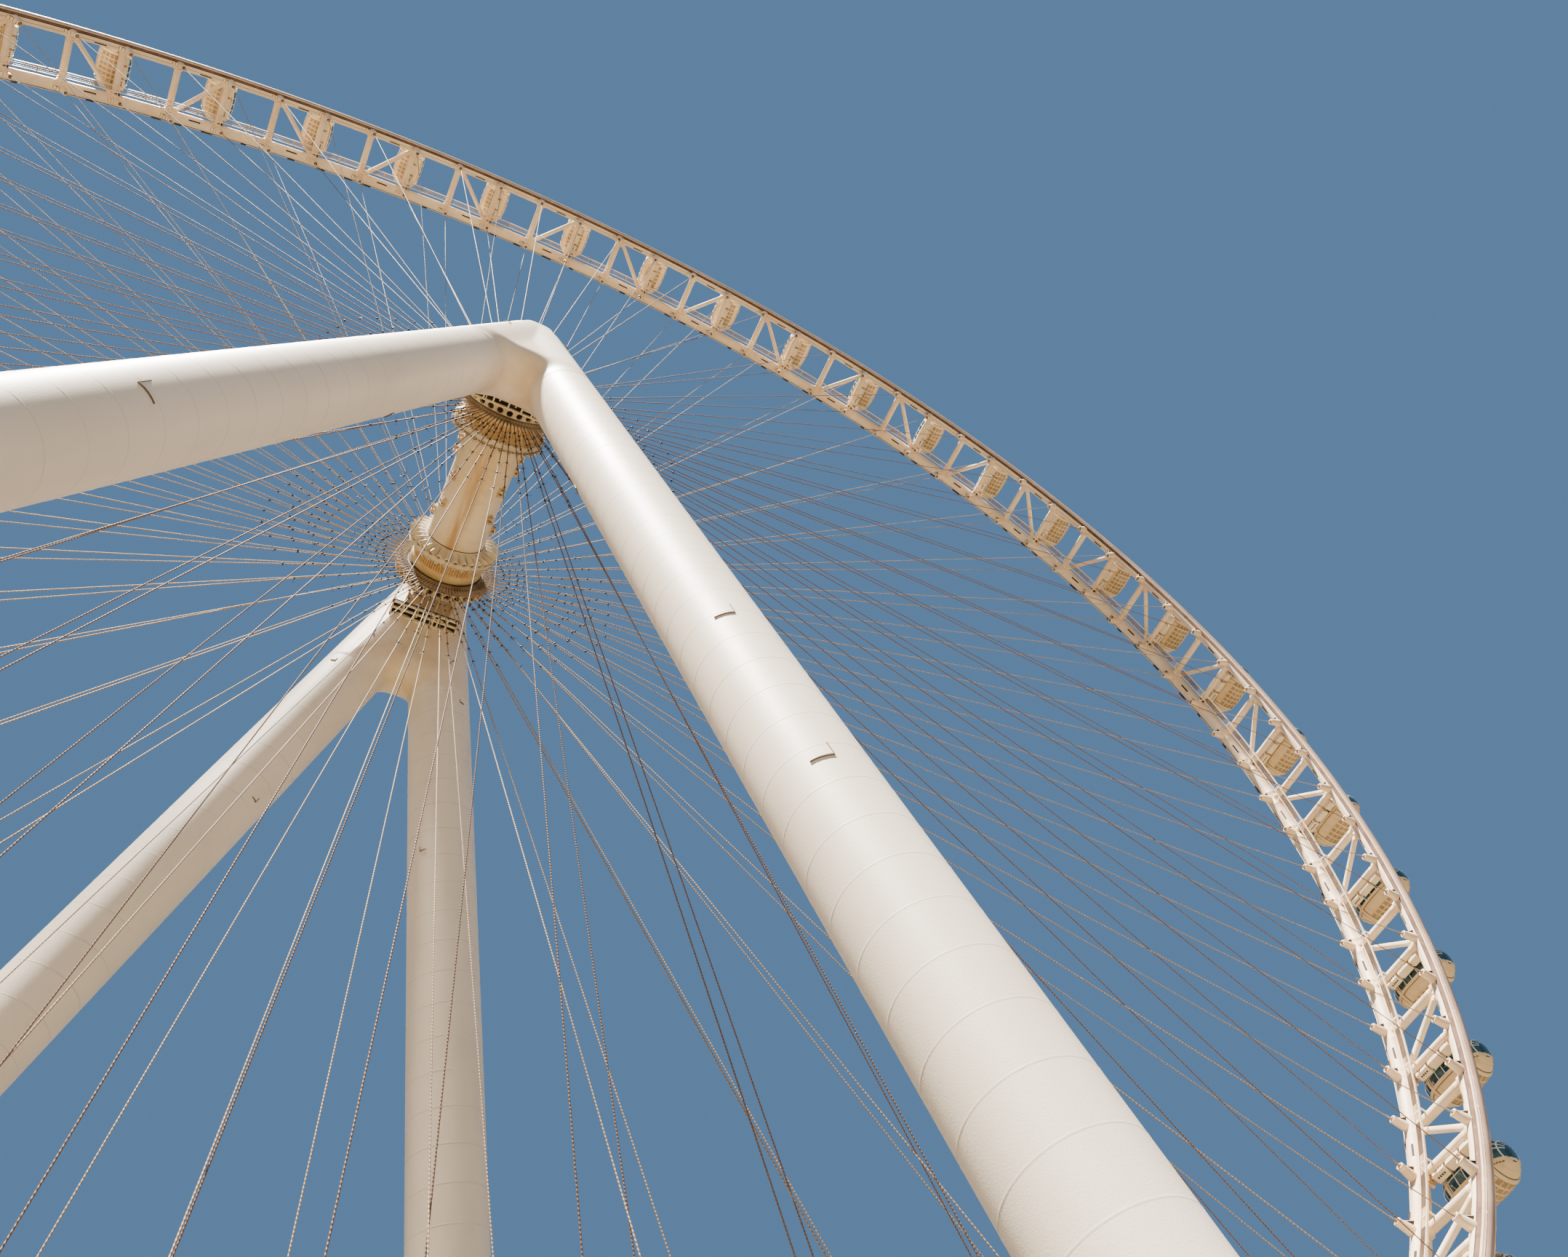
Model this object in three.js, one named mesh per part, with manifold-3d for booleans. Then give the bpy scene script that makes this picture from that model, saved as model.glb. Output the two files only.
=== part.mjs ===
// A giant observation wheel as a 1:10 scale model: two A-frames of round legs carry a fixed spindle,
// and a cable-spoked double rim turns on it with level capsules outside it.
// Millimetres, +Z up, axle along Y, the front of the wheel towards -Y, the floor at Z = 0.
import * as THREE from 'three';
import * as BufferGeometryUtils from 'three/addons/utils/BufferGeometryUtils.js';
import Module from 'manifold-3d';

const wasm = await Module();
wasm.setup();
const { Manifold } = wasm;

// the wheel's plane and its division
const HUB_Z = 12900;            // height of the axle
const NODES = 96;               // panel points round each chord, 48 of them under capsules
const STEP = 2 * Math.PI / NODES;
const PHASE = THREE.MathUtils.degToRad(-0.37);   // where the top capsule stands, clockwise from straight up
const GAP = 0.3;                // joint between pieces that touch

// rim
const RIM_Y = 415;              // each chord's distance from the mid-plane
const CHORD_R = 11500;          // radius of the chord's centre line
const CHORD_FLAT = 90;          // half the chord's width
const CHORD_CORNER = 104;       // half the chord's depth
const TUBE_R = 52;              // cross tube between the chords
const BRACE_R = 34;             // diagonal
const BEAM_WIDTH = 110;         // cross beam under a capsule
const BEAM_INNER = 11455;       // its inner face's radius
const LUG_REACH = 235;          // cable lug, from the chord's centre line to its tip
const LUG_ROOT = 60;            // its wide end, inside the chord
const LUG_WIDE = [72, 40];      // half sizes there, along the chord and across it
const LUG_TIP = 36;

// capsules
const CAPSULE_R = 231;
const CAPSULE_HALF = 405;
const CAPSULE_STRAIGHT = 215;
const CAPSULE_ORBIT = 11830;
const BEAM_OUTER = CAPSULE_ORBIT - CAPSULE_R - GAP;

// hub
const SPINDLE_R = 120;
const SPINDLE_HALF = 1150 - GAP;
const BARREL_R = 304;
const BARREL_STRAIGHT = 690;
const JOURNAL_R = 360;          // the barrel's thick ends, where the flanges sit
const HUB_HALF = 1077;
const FLANGE_R = 500;           // cable sockets
const DISC_R = 485;             // stiffener band on the flange's inner side
const DISC_Y = [705, 820];      // where the band starts and ends
const CABLE_R = 5;
const CABLE_Y = 1030;           // where cables leave the hub
const CABLE_ROOT = 485;
const CABLE_SUNK = 85;          // how far a cable runs on into the flange
const CABLE_SHIFT = 25;         // tangential offset at the hub, so crossing cables pass each other

// stand
const LEG_R = 300;
const LEG_TOP_Z = HUB_Z + 371;  // where the two leg axes of a frame meet
const LEG_TOP_Y = 1534;
const FOOT_X = 3385;
const FOOT_Y = 3622;
const BEND_R = 74;              // centre-line radius of the bend at the top
const CROWN_REACH = 1900;       // from the meeting point down to the weld under the crown
const WEB_HALF = 280;           // half the thickness of the web between the legs
const WEB_EDGE = [[150, 1], [1560, 1], [1670, 0.8], [1745, 0.4]];   // depth, share of that thickness
const BASE_R = 400;
const BASE_H = 50;
const HOUSING_R = 250;
const HOUSING_Y = 1150;
const DRUM_R = 500;                // bearing drum beside the flange
const DRUM_Y = [1083, 1155];
const PLATFORM = { x: 352, y0: 1238, y1: 1430, z0: -700, z1: -640, rows: 2, columns: 8, rib: 16 };

// materials
const paint = (color, roughness = 0.45, metalness = 0.1) =>
  new THREE.MeshStandardMaterial({ color, roughness, metalness });
const LEG_WHITE = () => paint(0xece4d8);
const RIM_WHITE = () => paint(0xe9dfd0);
const HUB_CREAM = () => paint(0xd9c8a8);
const SPINDLE_GREY = () => paint(0x8d8a84, 0.4, 0.8);
const CABLE_GREY = () => paint(0xa39a8e, 0.5, 0.6);
const CAPSULE_CREAM = () => paint(0xd8cdb6, 0.4, 0.1);

// solid from a closed three.js geometry, and back
function solid(geometry, matrix = null) {
  const g = new THREE.BufferGeometry();
  g.setAttribute('position', geometry.getAttribute('position').clone());
  if (geometry.index) g.setIndex(geometry.index.clone());
  if (matrix) g.applyMatrix4(matrix);
  const m = BufferGeometryUtils.mergeVertices(g, 1e-4);
  return new Manifold(new wasm.Mesh({
    numProp: 3,
    vertProperties: new Float32Array(m.getAttribute('position').array),
    triVerts: new Uint32Array(m.index.array),
  }));
}
function geometryOf(manifold) {
  // slivers shorter than a twentieth of a millimetre are dropped
  const m = manifold.simplify(0.05).getMesh();
  const g = new THREE.BufferGeometry();
  g.setAttribute('position', new THREE.BufferAttribute(new Float32Array(m.vertProperties), 3));
  g.setIndex(new THREE.BufferAttribute(new Uint32Array(m.triVerts), 1));
  g.computeVertexNormals();
  return g;
}
const union = list => Manifold.union(list);

// bar of few sides from a to b
function bar(a, b, radius, sides) {
  const axis = new THREE.Vector3().subVectors(b, a);
  const g = new THREE.CylinderGeometry(radius, radius, axis.length(), sides);
  const turn = new THREE.Quaternion().setFromUnitVectors(new THREE.Vector3(0, 1, 0), axis.clone().normalize());
  const middle = new THREE.Vector3().addVectors(a, b).multiplyScalar(0.5);
  return solid(g, new THREE.Matrix4().compose(middle, turn, new THREE.Vector3(1, 1, 1)));
}
// ring turned about the axle from a closed outline of [radius, y] points
function ring(outline, segments, start = 0) {
  const points = [...outline, outline[0]].map(([r, y]) => new THREE.Vector2(r, y));
  return solid(new THREE.LatheGeometry(points, segments, start, 2 * Math.PI));
}
function box(x0, x1, y0, y1, z0, z1) {
  const g = new THREE.BoxGeometry(x1 - x0, y1 - y0, z1 - z0);
  return solid(g, new THREE.Matrix4().makeTranslation((x0 + x1) / 2, (y0 + y1) / 2, (z0 + z1) / 2));
}

const wheel = new THREE.Group();
wheel.position.z = HUB_Z;
const stand = new THREE.Group();
const model = new THREE.Group();
model.add(stand, wheel);

function place(group, name, geometry, material) {
  const mesh = new THREE.Mesh(geometry, material);
  mesh.name = name;
  group.add(mesh);
  return mesh;
}

// node j lies j steps clockwise from the top capsule, seen from the front
const angle = j => PHASE + j * STEP;
const onRim = (j, y, r = CHORD_R) => new THREE.Vector3(r * Math.sin(angle(j)), y, r * Math.cos(angle(j)));

// Cables: the front flange holds the front chord at the tubes and the back chord at the beams, and the
// back flange the others. Each runs from its socket to the tip of a lug on the chord.
function cable(j, side) {
  const out = new THREE.Vector3(Math.sin(angle(j)), 0, Math.cos(angle(j)));
  const along = new THREE.Vector3(Math.cos(angle(j)), 0, -Math.sin(angle(j)));
  const root = out.clone().multiplyScalar(CABLE_ROOT).addScaledVector(along, side * CABLE_SHIFT);
  root.y = side * CABLE_Y;
  const node = onRim(j, (j % 2 ? side : -side) * RIM_Y);
  const inward = new THREE.Vector3().subVectors(root, node).normalize();
  return { root, node, inward, along };
}
function lug(j, side) {
  const { node, inward, along } = cable(j, side);
  const across = new THREE.Vector3().crossVectors(inward, along).normalize();
  const corners = [[LUG_ROOT, ...LUG_WIDE], [LUG_REACH, LUG_TIP, LUG_TIP]].flatMap(([reach, a, b]) =>
    [[-a, -b], [-a, b], [a, -b], [a, b]].map(([u, v]) => {
      const p = node.clone().addScaledVector(inward, reach).addScaledVector(along, u).addScaledVector(across, v);
      return [p.x, p.y, p.z];
    }));
  return Manifold.hull(corners);
}

// Rim: two chords, with a cross tube at each odd node, a beam under the capsule at each even node,
// one diagonal in the bay that leads clockwise from a tube to the next beam, and a lug for each cable.
const chord = side => ring([
  [-CHORD_CORNER, 0], [-CHORD_CORNER / 2, -CHORD_FLAT], [CHORD_CORNER / 2, -CHORD_FLAT],
  [CHORD_CORNER, 0], [CHORD_CORNER / 2, CHORD_FLAT], [-CHORD_CORNER / 2, CHORD_FLAT],
].map(([r, y]) => [CHORD_R + r, side * RIM_Y + y]), NODES, PHASE);

function rimHalf(first) {
  // the cuts run through the open bays past the top and bottom capsules
  const half = j => {
    const n = new THREE.Vector3(Math.cos(angle(j)), 0, -Math.sin(angle(j)));
    return [n.x, n.y, n.z];
  };
  const chords = [-1, 1].map(side => chord(side).trimByPlane(half(first - 0.5), GAP / 2));
  const bars = [];
  for (let j = first; j < first + NODES / 2; j++) {
    bars.push(lug(j, -1), lug(j, 1));
    if (j % 2) {
      bars.push(bar(onRim(j, -RIM_Y), onRim(j, RIM_Y), TUBE_R, 6));
      const side = j % 4 === 1 ? -1 : 1;
      bars.push(bar(onRim(j, side * (RIM_Y - 20)), onRim(j + 1, -side * (RIM_Y - 20)), BRACE_R, 4));
    } else {
      const g = new THREE.BoxGeometry(BEAM_WIDTH, 2 * RIM_Y, BEAM_OUTER - BEAM_INNER);
      const m = new THREE.Matrix4().makeRotationY(angle(j));
      m.setPosition(onRim(j, 0, (BEAM_OUTER + BEAM_INNER) / 2));
      bars.push(solid(g, m));
    }
  }
  return union([...chords, ...bars]);
}
place(wheel, 'rim_right_half', geometryOf(rimHalf(1)), RIM_WHITE());
place(wheel, 'rim_left_half', geometryOf(rimHalf(49)), RIM_WHITE());

// Hub barrel, turning on the spindle. A bore's flats clear the corners of what runs or sits in it.
const boreOver = r => (r + GAP) / Math.cos(Math.PI / 32);
const BORE_R = boreOver(SPINDLE_R);
const barrel = ring([
  [BORE_R, -HUB_HALF], [JOURNAL_R, -HUB_HALF], [JOURNAL_R, -BARREL_STRAIGHT], [BARREL_R, -BARREL_STRAIGHT + 60],
  [BARREL_R, BARREL_STRAIGHT - 60], [JOURNAL_R, BARREL_STRAIGHT], [JOURNAL_R, HUB_HALF], [BORE_R, HUB_HALF],
], 32);
place(wheel, 'hub_barrel', geometryOf(barrel), HUB_CREAM());

// Flange with its fan of cables
function flangeWithCables(side) {
  const seat = boreOver(JOURNAL_R);
  const outline = [
    [seat, DISC_Y[0]], [DISC_R, DISC_Y[0]], [DISC_R, DISC_Y[1]], [430, 875], [400, 900], [400, 980],
    [FLANGE_R, 1000], [FLANGE_R, 1060], [seat, 1075],
  ].map(([r, y]) => [r, side * y]);
  // three cables leave each facet of the flange, clear of its corners and of its middle
  const start = PHASE + STEP / 2 + side * CABLE_SHIFT / FLANGE_R + 0.008;
  const parts = [ring(side > 0 ? outline : outline.reverse(), 32, start)];
  for (let j = 0; j < NODES; j++) {
    const { root, node, inward } = cable(j, side);
    const end = node.clone().addScaledVector(inward, LUG_REACH + GAP);
    parts.push(bar(root.addScaledVector(inward, CABLE_SUNK), end, CABLE_R, 3));
  }
  return union(parts);
}
place(wheel, 'spokes_front', geometryOf(flangeWithCables(-1)), CABLE_GREY());
place(wheel, 'spokes_back', geometryOf(flangeWithCables(1)), CABLE_GREY());

// Capsules, numbered clockwise from the top. A corner of each faceted body points at its beam.
for (let i = 0; i < NODES / 2; i++) {
  const outline = [
    [0, -CAPSULE_HALF], [150, -370], [CAPSULE_R, -CAPSULE_STRAIGHT],
    [CAPSULE_R, CAPSULE_STRAIGHT], [150, 370], [0, CAPSULE_HALF],
  ].map(([r, y]) => new THREE.Vector2(r, y));
  const g = new THREE.LatheGeometry(outline, 12, angle(2 * i), 2 * Math.PI);
  const capsule = place(wheel, `capsule_${String(i + 1).padStart(2, '0')}`, geometryOf(solid(g)), CAPSULE_CREAM());
  capsule.position.copy(onRim(2 * i, 0, CAPSULE_ORBIT));
}

// Spindle, fixed between the crowns
const spindle = new THREE.CylinderGeometry(SPINDLE_R, SPINDLE_R, 2 * SPINDLE_HALF, 32);
place(stand, 'spindle', geometryOf(solid(spindle)), SPINDLE_GREY()).position.z = HUB_Z;

// A-frames
const top = side => new THREE.Vector3(0, side * LEG_TOP_Y, LEG_TOP_Z);
const down = (lr, side) => new THREE.Vector3(lr * FOOT_X, side * (FOOT_Y - LEG_TOP_Y), -LEG_TOP_Z).normalize();

function leg(lr, side) {
  const d = down(lr, side);
  const upper = top(side).addScaledVector(d, CROWN_REACH + GAP);
  const lower = top(side).addScaledVector(d, LEG_TOP_Z / -d.z + 150);
  const base = solid(new THREE.CylinderGeometry(BASE_R, BASE_R, BASE_H, 24),
    new THREE.Matrix4().makeTranslation(lr * FOOT_X, side * FOOT_Y, BASE_H / 2)
      .multiply(new THREE.Matrix4().makeRotationX(Math.PI / 2)));
  return union([bar(upper, lower, LEG_R, 24), base]).trimByPlane([0, 0, 1], 0);
}
function crown(side) {
  const half = Math.acos(down(1, side).dot(down(-1, side))) / 2;
  const centreDown = new THREE.Vector3().addVectors(down(1, side), down(-1, side)).normalize();
  const centre = top(side).addScaledVector(centreDown, BEND_R / Math.sin(half));
  // outer side of the bend, turned about the normal of the frame's plane
  const outline = [];
  const start = Math.acos(-BEND_R / LEG_R);
  for (let i = 0; i <= 10; i++) {
    const a = -start + 2 * start * i / 10;
    outline.push(new THREE.Vector2(Math.max(0, BEND_R + LEG_R * Math.cos(a)), LEG_R * Math.sin(a)));
  }
  outline[0].x = outline[10].x = 0;
  const normal = new THREE.Vector3().crossVectors(down(1, side), down(-1, side)).normalize();
  const turn = new THREE.Quaternion().setFromUnitVectors(new THREE.Vector3(0, 1, 0), normal);
  const knuckle = solid(new THREE.LatheGeometry(outline, 24),
    new THREE.Matrix4().compose(centre, turn, new THREE.Vector3(1, 1, 1)));
  const stubs = [-1, 1].map(lr => bar(
    top(side).addScaledVector(down(lr, side), BEND_R / Math.tan(half)),
    top(side).addScaledVector(down(lr, side), CROWN_REACH), LEG_R, 24));
  // web that fills the fork, with its lower edge rounded
  const web = Manifold.hull(WEB_EDGE.flatMap(([depth, share]) => [-1, 1].flatMap(lr => [-1, 1].map(face => {
    const p = top(side).addScaledVector(down(lr, side), depth / Math.cos(half))
      .addScaledVector(normal, face * share * WEB_HALF);
    return [p.x, p.y, p.z];
  }))));
  const y = [HOUSING_Y, Math.abs(centre.y)];
  const housing = bar(new THREE.Vector3(0, side * y[0], HUB_Z), new THREE.Vector3(0, side * y[1], HUB_Z), HOUSING_R, 24);
  const drum = bar(new THREE.Vector3(0, side * DRUM_Y[0], HUB_Z), new THREE.Vector3(0, side * DRUM_Y[1], HUB_Z),
    DRUM_R, 48).subtract(bar(new THREE.Vector3(0, side * (DRUM_Y[0] - 10), HUB_Z),
    new THREE.Vector3(0, side * HOUSING_Y, HUB_Z), HOUSING_R - 60, 24));
  // grating platform under the bearing
  const p = PLATFORM;
  const ys = [side * p.y0, side * p.y1].sort((a, b) => a - b);
  let platform = box(-p.x, p.x, ys[0], ys[1], HUB_Z + p.z0, HUB_Z + p.z1);
  const holes = [];
  const dx = (2 * p.x - p.rib) / p.columns, dy = (p.y1 - p.y0 - p.rib) / p.rows;
  for (let r = 0; r < p.rows; r++) {
    for (let c = 0; c < p.columns; c++) {
      const x = -p.x + p.rib + c * dx, yy = ys[0] + p.rib + r * dy;
      holes.push(box(x, x + dx - p.rib, yy, yy + dy - p.rib, HUB_Z + p.z0 - 5, HUB_Z + p.z1 + 5));
    }
  }
  platform = platform.subtract(union(holes));
  return union([knuckle, ...stubs, web, housing, drum, platform]);
}
for (const [end, side] of [['front', -1], ['back', 1]]) {
  place(stand, `${end}_crown`, geometryOf(crown(side)), LEG_WHITE());
  place(stand, `${end}_left_leg`, geometryOf(leg(-1, side)), LEG_WHITE());
  place(stand, `${end}_right_leg`, geometryOf(leg(1, side)), LEG_WHITE());
}

export default model;
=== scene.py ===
"""Giant cable-spoked observation wheel, 1:10: the detailed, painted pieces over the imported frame."""
import math

import bpy
import numpy as np
from mathutils import Matrix, Vector


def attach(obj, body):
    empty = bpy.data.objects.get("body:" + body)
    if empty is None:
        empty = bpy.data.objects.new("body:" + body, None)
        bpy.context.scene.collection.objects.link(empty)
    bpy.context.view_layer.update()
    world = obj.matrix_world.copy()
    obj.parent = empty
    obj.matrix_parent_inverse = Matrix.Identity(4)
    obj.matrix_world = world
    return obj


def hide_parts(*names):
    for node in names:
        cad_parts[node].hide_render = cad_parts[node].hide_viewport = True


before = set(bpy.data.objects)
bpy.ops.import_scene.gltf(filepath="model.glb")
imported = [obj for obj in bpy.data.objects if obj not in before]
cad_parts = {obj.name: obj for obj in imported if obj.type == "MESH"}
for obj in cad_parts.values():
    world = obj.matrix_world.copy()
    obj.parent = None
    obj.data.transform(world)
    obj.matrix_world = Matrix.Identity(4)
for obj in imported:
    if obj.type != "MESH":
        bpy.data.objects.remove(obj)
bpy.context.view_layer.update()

# Camera: it stands on the ground in front of the wheel, just right of the middle, and looks steeply
# up under the axle. Its place and lens come from a fit to the photograph's straight and round edges.
EYE = (0.1052, -6.0380, 0.1532)
ELEVATION, AZIMUTH, ROLL = 60.202, 36.768, -11.386
PHOTO_WIDE, PHOTO_HIGH = 2156, 1728
FOCAL = 1735.36                     # in pixels of the photograph
LENS_AXIS = (1178.80, 853.01)       # where the lens axis meets the picture
lens = bpy.data.cameras.new("camera")
lens.sensor_width = 36.0
lens.lens = FOCAL / PHOTO_WIDE * lens.sensor_width
lens.shift_x = (PHOTO_WIDE / 2 - LENS_AXIS[0]) / PHOTO_WIDE
lens.shift_y = (LENS_AXIS[1] - PHOTO_HIGH / 2) / PHOTO_WIDE
lens.clip_start, lens.clip_end = 0.05, 500
camera = bpy.data.objects.new("camera", lens)
bpy.context.scene.collection.objects.link(camera)
camera.matrix_world = (
    Matrix.Translation(EYE) @ Matrix.Rotation(math.radians(-AZIMUTH), 4, "Z")
    @ Matrix.Rotation(math.radians(90 + ELEVATION), 4, "X") @ Matrix.Rotation(math.radians(ROLL), 4, "Z"))
bpy.context.scene.camera = camera


# Stage: a broad pale floor, one large soft key light from high on the left, and an even cool fill.
def srgb(red, green, blue):
    """Linear colour of a paint given in the usual steps from 0 to 255."""
    return tuple(((c / 255 + 0.055) / 1.055) ** 2.4 if c > 10 else c / 3294.6
                 for c in (red, green, blue)) + (1.0,)


KEY_FROM = Vector((-0.38, -0.16, 0.91))
key = bpy.data.lights.new("key", "SUN")
key.energy, key.angle, key.color = 26.0, math.radians(5), (1.0, 0.93, 0.84)
key_lamp = bpy.data.objects.new("key", key)
key_lamp.rotation_euler = KEY_FROM.to_track_quat("Z", "Y").to_euler()
bpy.context.scene.collection.objects.link(key_lamp)

world = bpy.data.worlds.new("studio")
world.use_nodes = True
world.node_tree.nodes["Background"].inputs["Color"].default_value = srgb(92, 128, 168)
world.node_tree.nodes["Background"].inputs["Strength"].default_value = 1.0
bpy.context.scene.world = world

FLOOR_R, FLOOR_SIDES = 70, 96
turns = [2 * math.pi * k / FLOOR_SIDES for k in range(FLOOR_SIDES)]
floor_mesh = bpy.data.meshes.new("floor")
floor_mesh.from_pydata([(FLOOR_R * math.cos(a), FLOOR_R * math.sin(a), -0.002) for a in turns], [],
                       [list(range(FLOOR_SIDES))])
floor = bpy.data.objects.new("floor", floor_mesh)
bpy.context.scene.collection.objects.link(floor)
floor_paint = bpy.data.materials.new("floor")
floor_paint.use_nodes = True
floor_paint.node_tree.nodes["Principled BSDF"].inputs["Base Color"].default_value = srgb(97, 88, 69)
floor_paint.node_tree.nodes["Principled BSDF"].inputs["Roughness"].default_value = 0.9
floor_mesh.materials.append(floor_paint)


# Legs: four round columns of rolled steel plate, butt welded every 0.3 m, painted cream white and
# streaked by rain and dust. Each stands on a bolted base plate and is welded to its crown at the top.
HUB = 12.9                          # height of the axle
LEG_R = 0.3
APEX = np.array([0.0, 1.534, HUB + 0.371])      # where the leg axes of one frame meet
FOOT = np.array([3.385, 3.622, 0.0])
CROWN_REACH = 1.9                   # from the apex down to the weld under the crown
DOWN = (FOOT - APEX) / np.linalg.norm(FOOT - APEX)
LEG_LENGTH = float(np.linalg.norm(FOOT - APEX))
PLATE = 0.301                       # length of one rolled ring of a leg
BASE_R, BASE_H = 0.4, 0.05


class Wire:
    """A value in a finish's node tree. Arithmetic on it adds Math nodes."""

    def __init__(self, finish, socket):
        self.finish, self.socket = finish, socket

    def math(self, operation, a, b=0.0):
        return self.finish.node("ShaderNodeMath", {"operation": operation}, {0: a, 1: b})

    def __add__(self, other):
        return self.math("ADD", self, other)

    def __mul__(self, other):
        return self.math("MULTIPLY", self, other)

    def __sub__(self, other):
        return self.math("SUBTRACT", self, other)

    def __rsub__(self, other):
        return self.math("SUBTRACT", other, self)

    __radd__, __rmul__ = __add__, __mul__


class Finish:
    """A surface finish: a material whose nodes are all added by one method."""

    def __init__(self, name, **plain):
        self.material = bpy.data.materials.new(name)
        self.material.use_nodes = True
        self.tree = self.material.node_tree
        self.shader = self.tree.nodes["Principled BSDF"]
        for socket, value in plain.items():
            self.shader.inputs[socket.replace("_", " ")].default_value = value
        self.place = self.node("ShaderNodeTexCoord", out="Object")

    def node(self, kind, settings=None, sockets=None, out=0):
        """One output of a new node, from its type, settings and sockets."""
        made = self.tree.nodes.new(kind)
        for key, value in (settings or {}).items():
            setattr(made, key, value)
        for key, value in (sockets or {}).items():
            if isinstance(value, Wire):
                self.tree.links.new(value.socket, made.inputs[key])
            else:
                made.inputs[key].default_value = value
        return Wire(self, made.outputs[out])

    def along_axis(self, number):
        """Coordinate of each surface point along X, Y or Z, for 0, 1 or 2."""
        return self.node("ShaderNodeSeparateXYZ", {}, {0: self.place}, number)

    def vector(self, operation, a, b=(0, 0, 0), out=0):
        return self.node("ShaderNodeVectorMath", {"operation": operation}, {0: a, 1: b}, out)

    def noise(self, scale, stretch=(1, 1, 1), detail=3.0, shift=0.0):
        at = self.vector("MULTIPLY_ADD", self.place, stretch)
        at.socket.node.inputs[2].default_value = (shift, shift, shift)
        return self.node("ShaderNodeTexNoise", {}, {"Vector": at, "Scale": scale, "Detail": detail})

    def fade(self, value, low, high):
        return self.node("ShaderNodeMapRange", {"interpolation_type": "SMOOTHSTEP"},
                         {0: value, 1: low, 2: high, 3: 0.0, 4: 1.0})

    def blend(self, factor, a, b):
        return self.node("ShaderNodeMix", {"data_type": "RGBA"}, {0: factor, 6: a, 7: b}, 2)

    def feed(self, socket, wire):
        self.tree.links.new(wire.socket, self.shader.inputs[socket])
        return self

    def bump(self, height, distance):
        return self.feed("Normal", self.node("ShaderNodeBump", {}, {"Height": height, "Distance": distance}))


DIRT, RUST, RUST_DARK = srgb(158, 136, 106), srgb(186, 120, 58), srgb(112, 70, 40)
STAIN = srgb(216, 180, 122)


def painted_steel(name, colour, shade, grime=0.35, rust=0.0, grain=1.0, roughness=0.42, spots=()):
    """Sprayed paint: slow changes of tone, run-down dirt, rust that breaks through, fine orange peel.
    Each of spots is (x, y, z, radius, amount): a patch of heavier rust stain at mirrored places."""
    f = Finish(name)
    slow = f.noise(0.7 * grain, detail=4)
    run = f.fade(f.noise(2.2 * grain, (1.6, 1.6, 0.5), 5), 0.47, 0.82)
    fleck = f.fade(f.noise(55 * grain, detail=2), 0.66, 0.74)
    tone = f.blend(f.fade(slow, 0.3, 0.72), srgb(*colour), srgb(*shade))
    tone = f.blend(run * grime, tone, DIRT)
    tone = f.blend(fleck * (0.45 * grime), tone, RUST_DARK)
    worn = f.fade(f.noise(6 * grain, detail=6, shift=3.1), 0.72 - 0.3 * rust, 0.86 - 0.22 * rust)
    worn = worn * min(1.0, 2 * rust)
    mirrored = f.vector("ABSOLUTE", f.place)
    for x, y, z, radius, amount in spots:
        near = 1.0 - f.fade(f.vector("DISTANCE", mirrored, (x, y, z), "Value"), 0.15 * radius, radius)
        stain = near * amount * f.fade(f.noise(2.6, detail=6, shift=7.7), 0.22, 0.72)
        tone = f.blend(stain, tone, STAIN)
    tone = f.blend(worn, tone, f.blend(f.noise(22 * grain, detail=4), RUST, RUST_DARK))
    f.feed("Base Color", tone)
    f.feed("Roughness", roughness + 0.18 * slow + 0.2 * run * grime + 0.25 * worn)
    return f.bump(f.noise(140 * grain, detail=2) * 0.5 + worn * 1.5, 0.0012)


def unit(v):
    v = np.asarray(v, float)
    return v / np.linalg.norm(v)


def loft(rings, caps=True, closed=False):
    """Skin over a row of closed rings with the same number of points."""
    rings = np.asarray(rings, float)
    m, n = rings.shape[:2]
    i = np.arange(m if closed else m - 1)[:, None]
    k = np.arange(n)
    near, far = i * n, (i + 1) % m * n
    quads = np.stack([near + k, near + (k + 1) % n, far + (k + 1) % n, far + k], -1).reshape(-1, 4)
    faces = [quads]
    if caps and not closed:
        faces += [np.arange(n)[None, ::-1], (np.arange(n) + (m - 1) * n)[None]]
    return rings.reshape(-1, 3), faces


def turned(start, direction, outline, sides, caps=True):
    """Round bar along direction; outline lists (distance from start, radius)."""
    w = unit(direction)
    u = unit(np.cross(w, (0, 0, 1) if abs(w[2]) < 0.9 else (0, 1, 0)))
    v = np.cross(w, u)
    a = 2 * np.pi * np.arange(sides) / sides
    ring = np.cos(a)[:, None] * u + np.sin(a)[:, None] * v
    return loft([np.asarray(start, float) + t * w + r * ring for t, r in outline], caps)


def block(centre, axes, halves):
    """Box with its own directions, from its centre and half sizes."""
    corners = np.array([[x, y, z] for x in (-1, 1) for y in (-1, 1) for z in (-1, 1)], float) * halves
    faces = np.array([[0, 1, 3, 2], [4, 6, 7, 5], [0, 4, 5, 1], [2, 3, 7, 6], [0, 2, 6, 4], [1, 5, 7, 3]])
    return np.asarray(centre, float) + corners @ np.asarray(axes, float), [faces]


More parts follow.
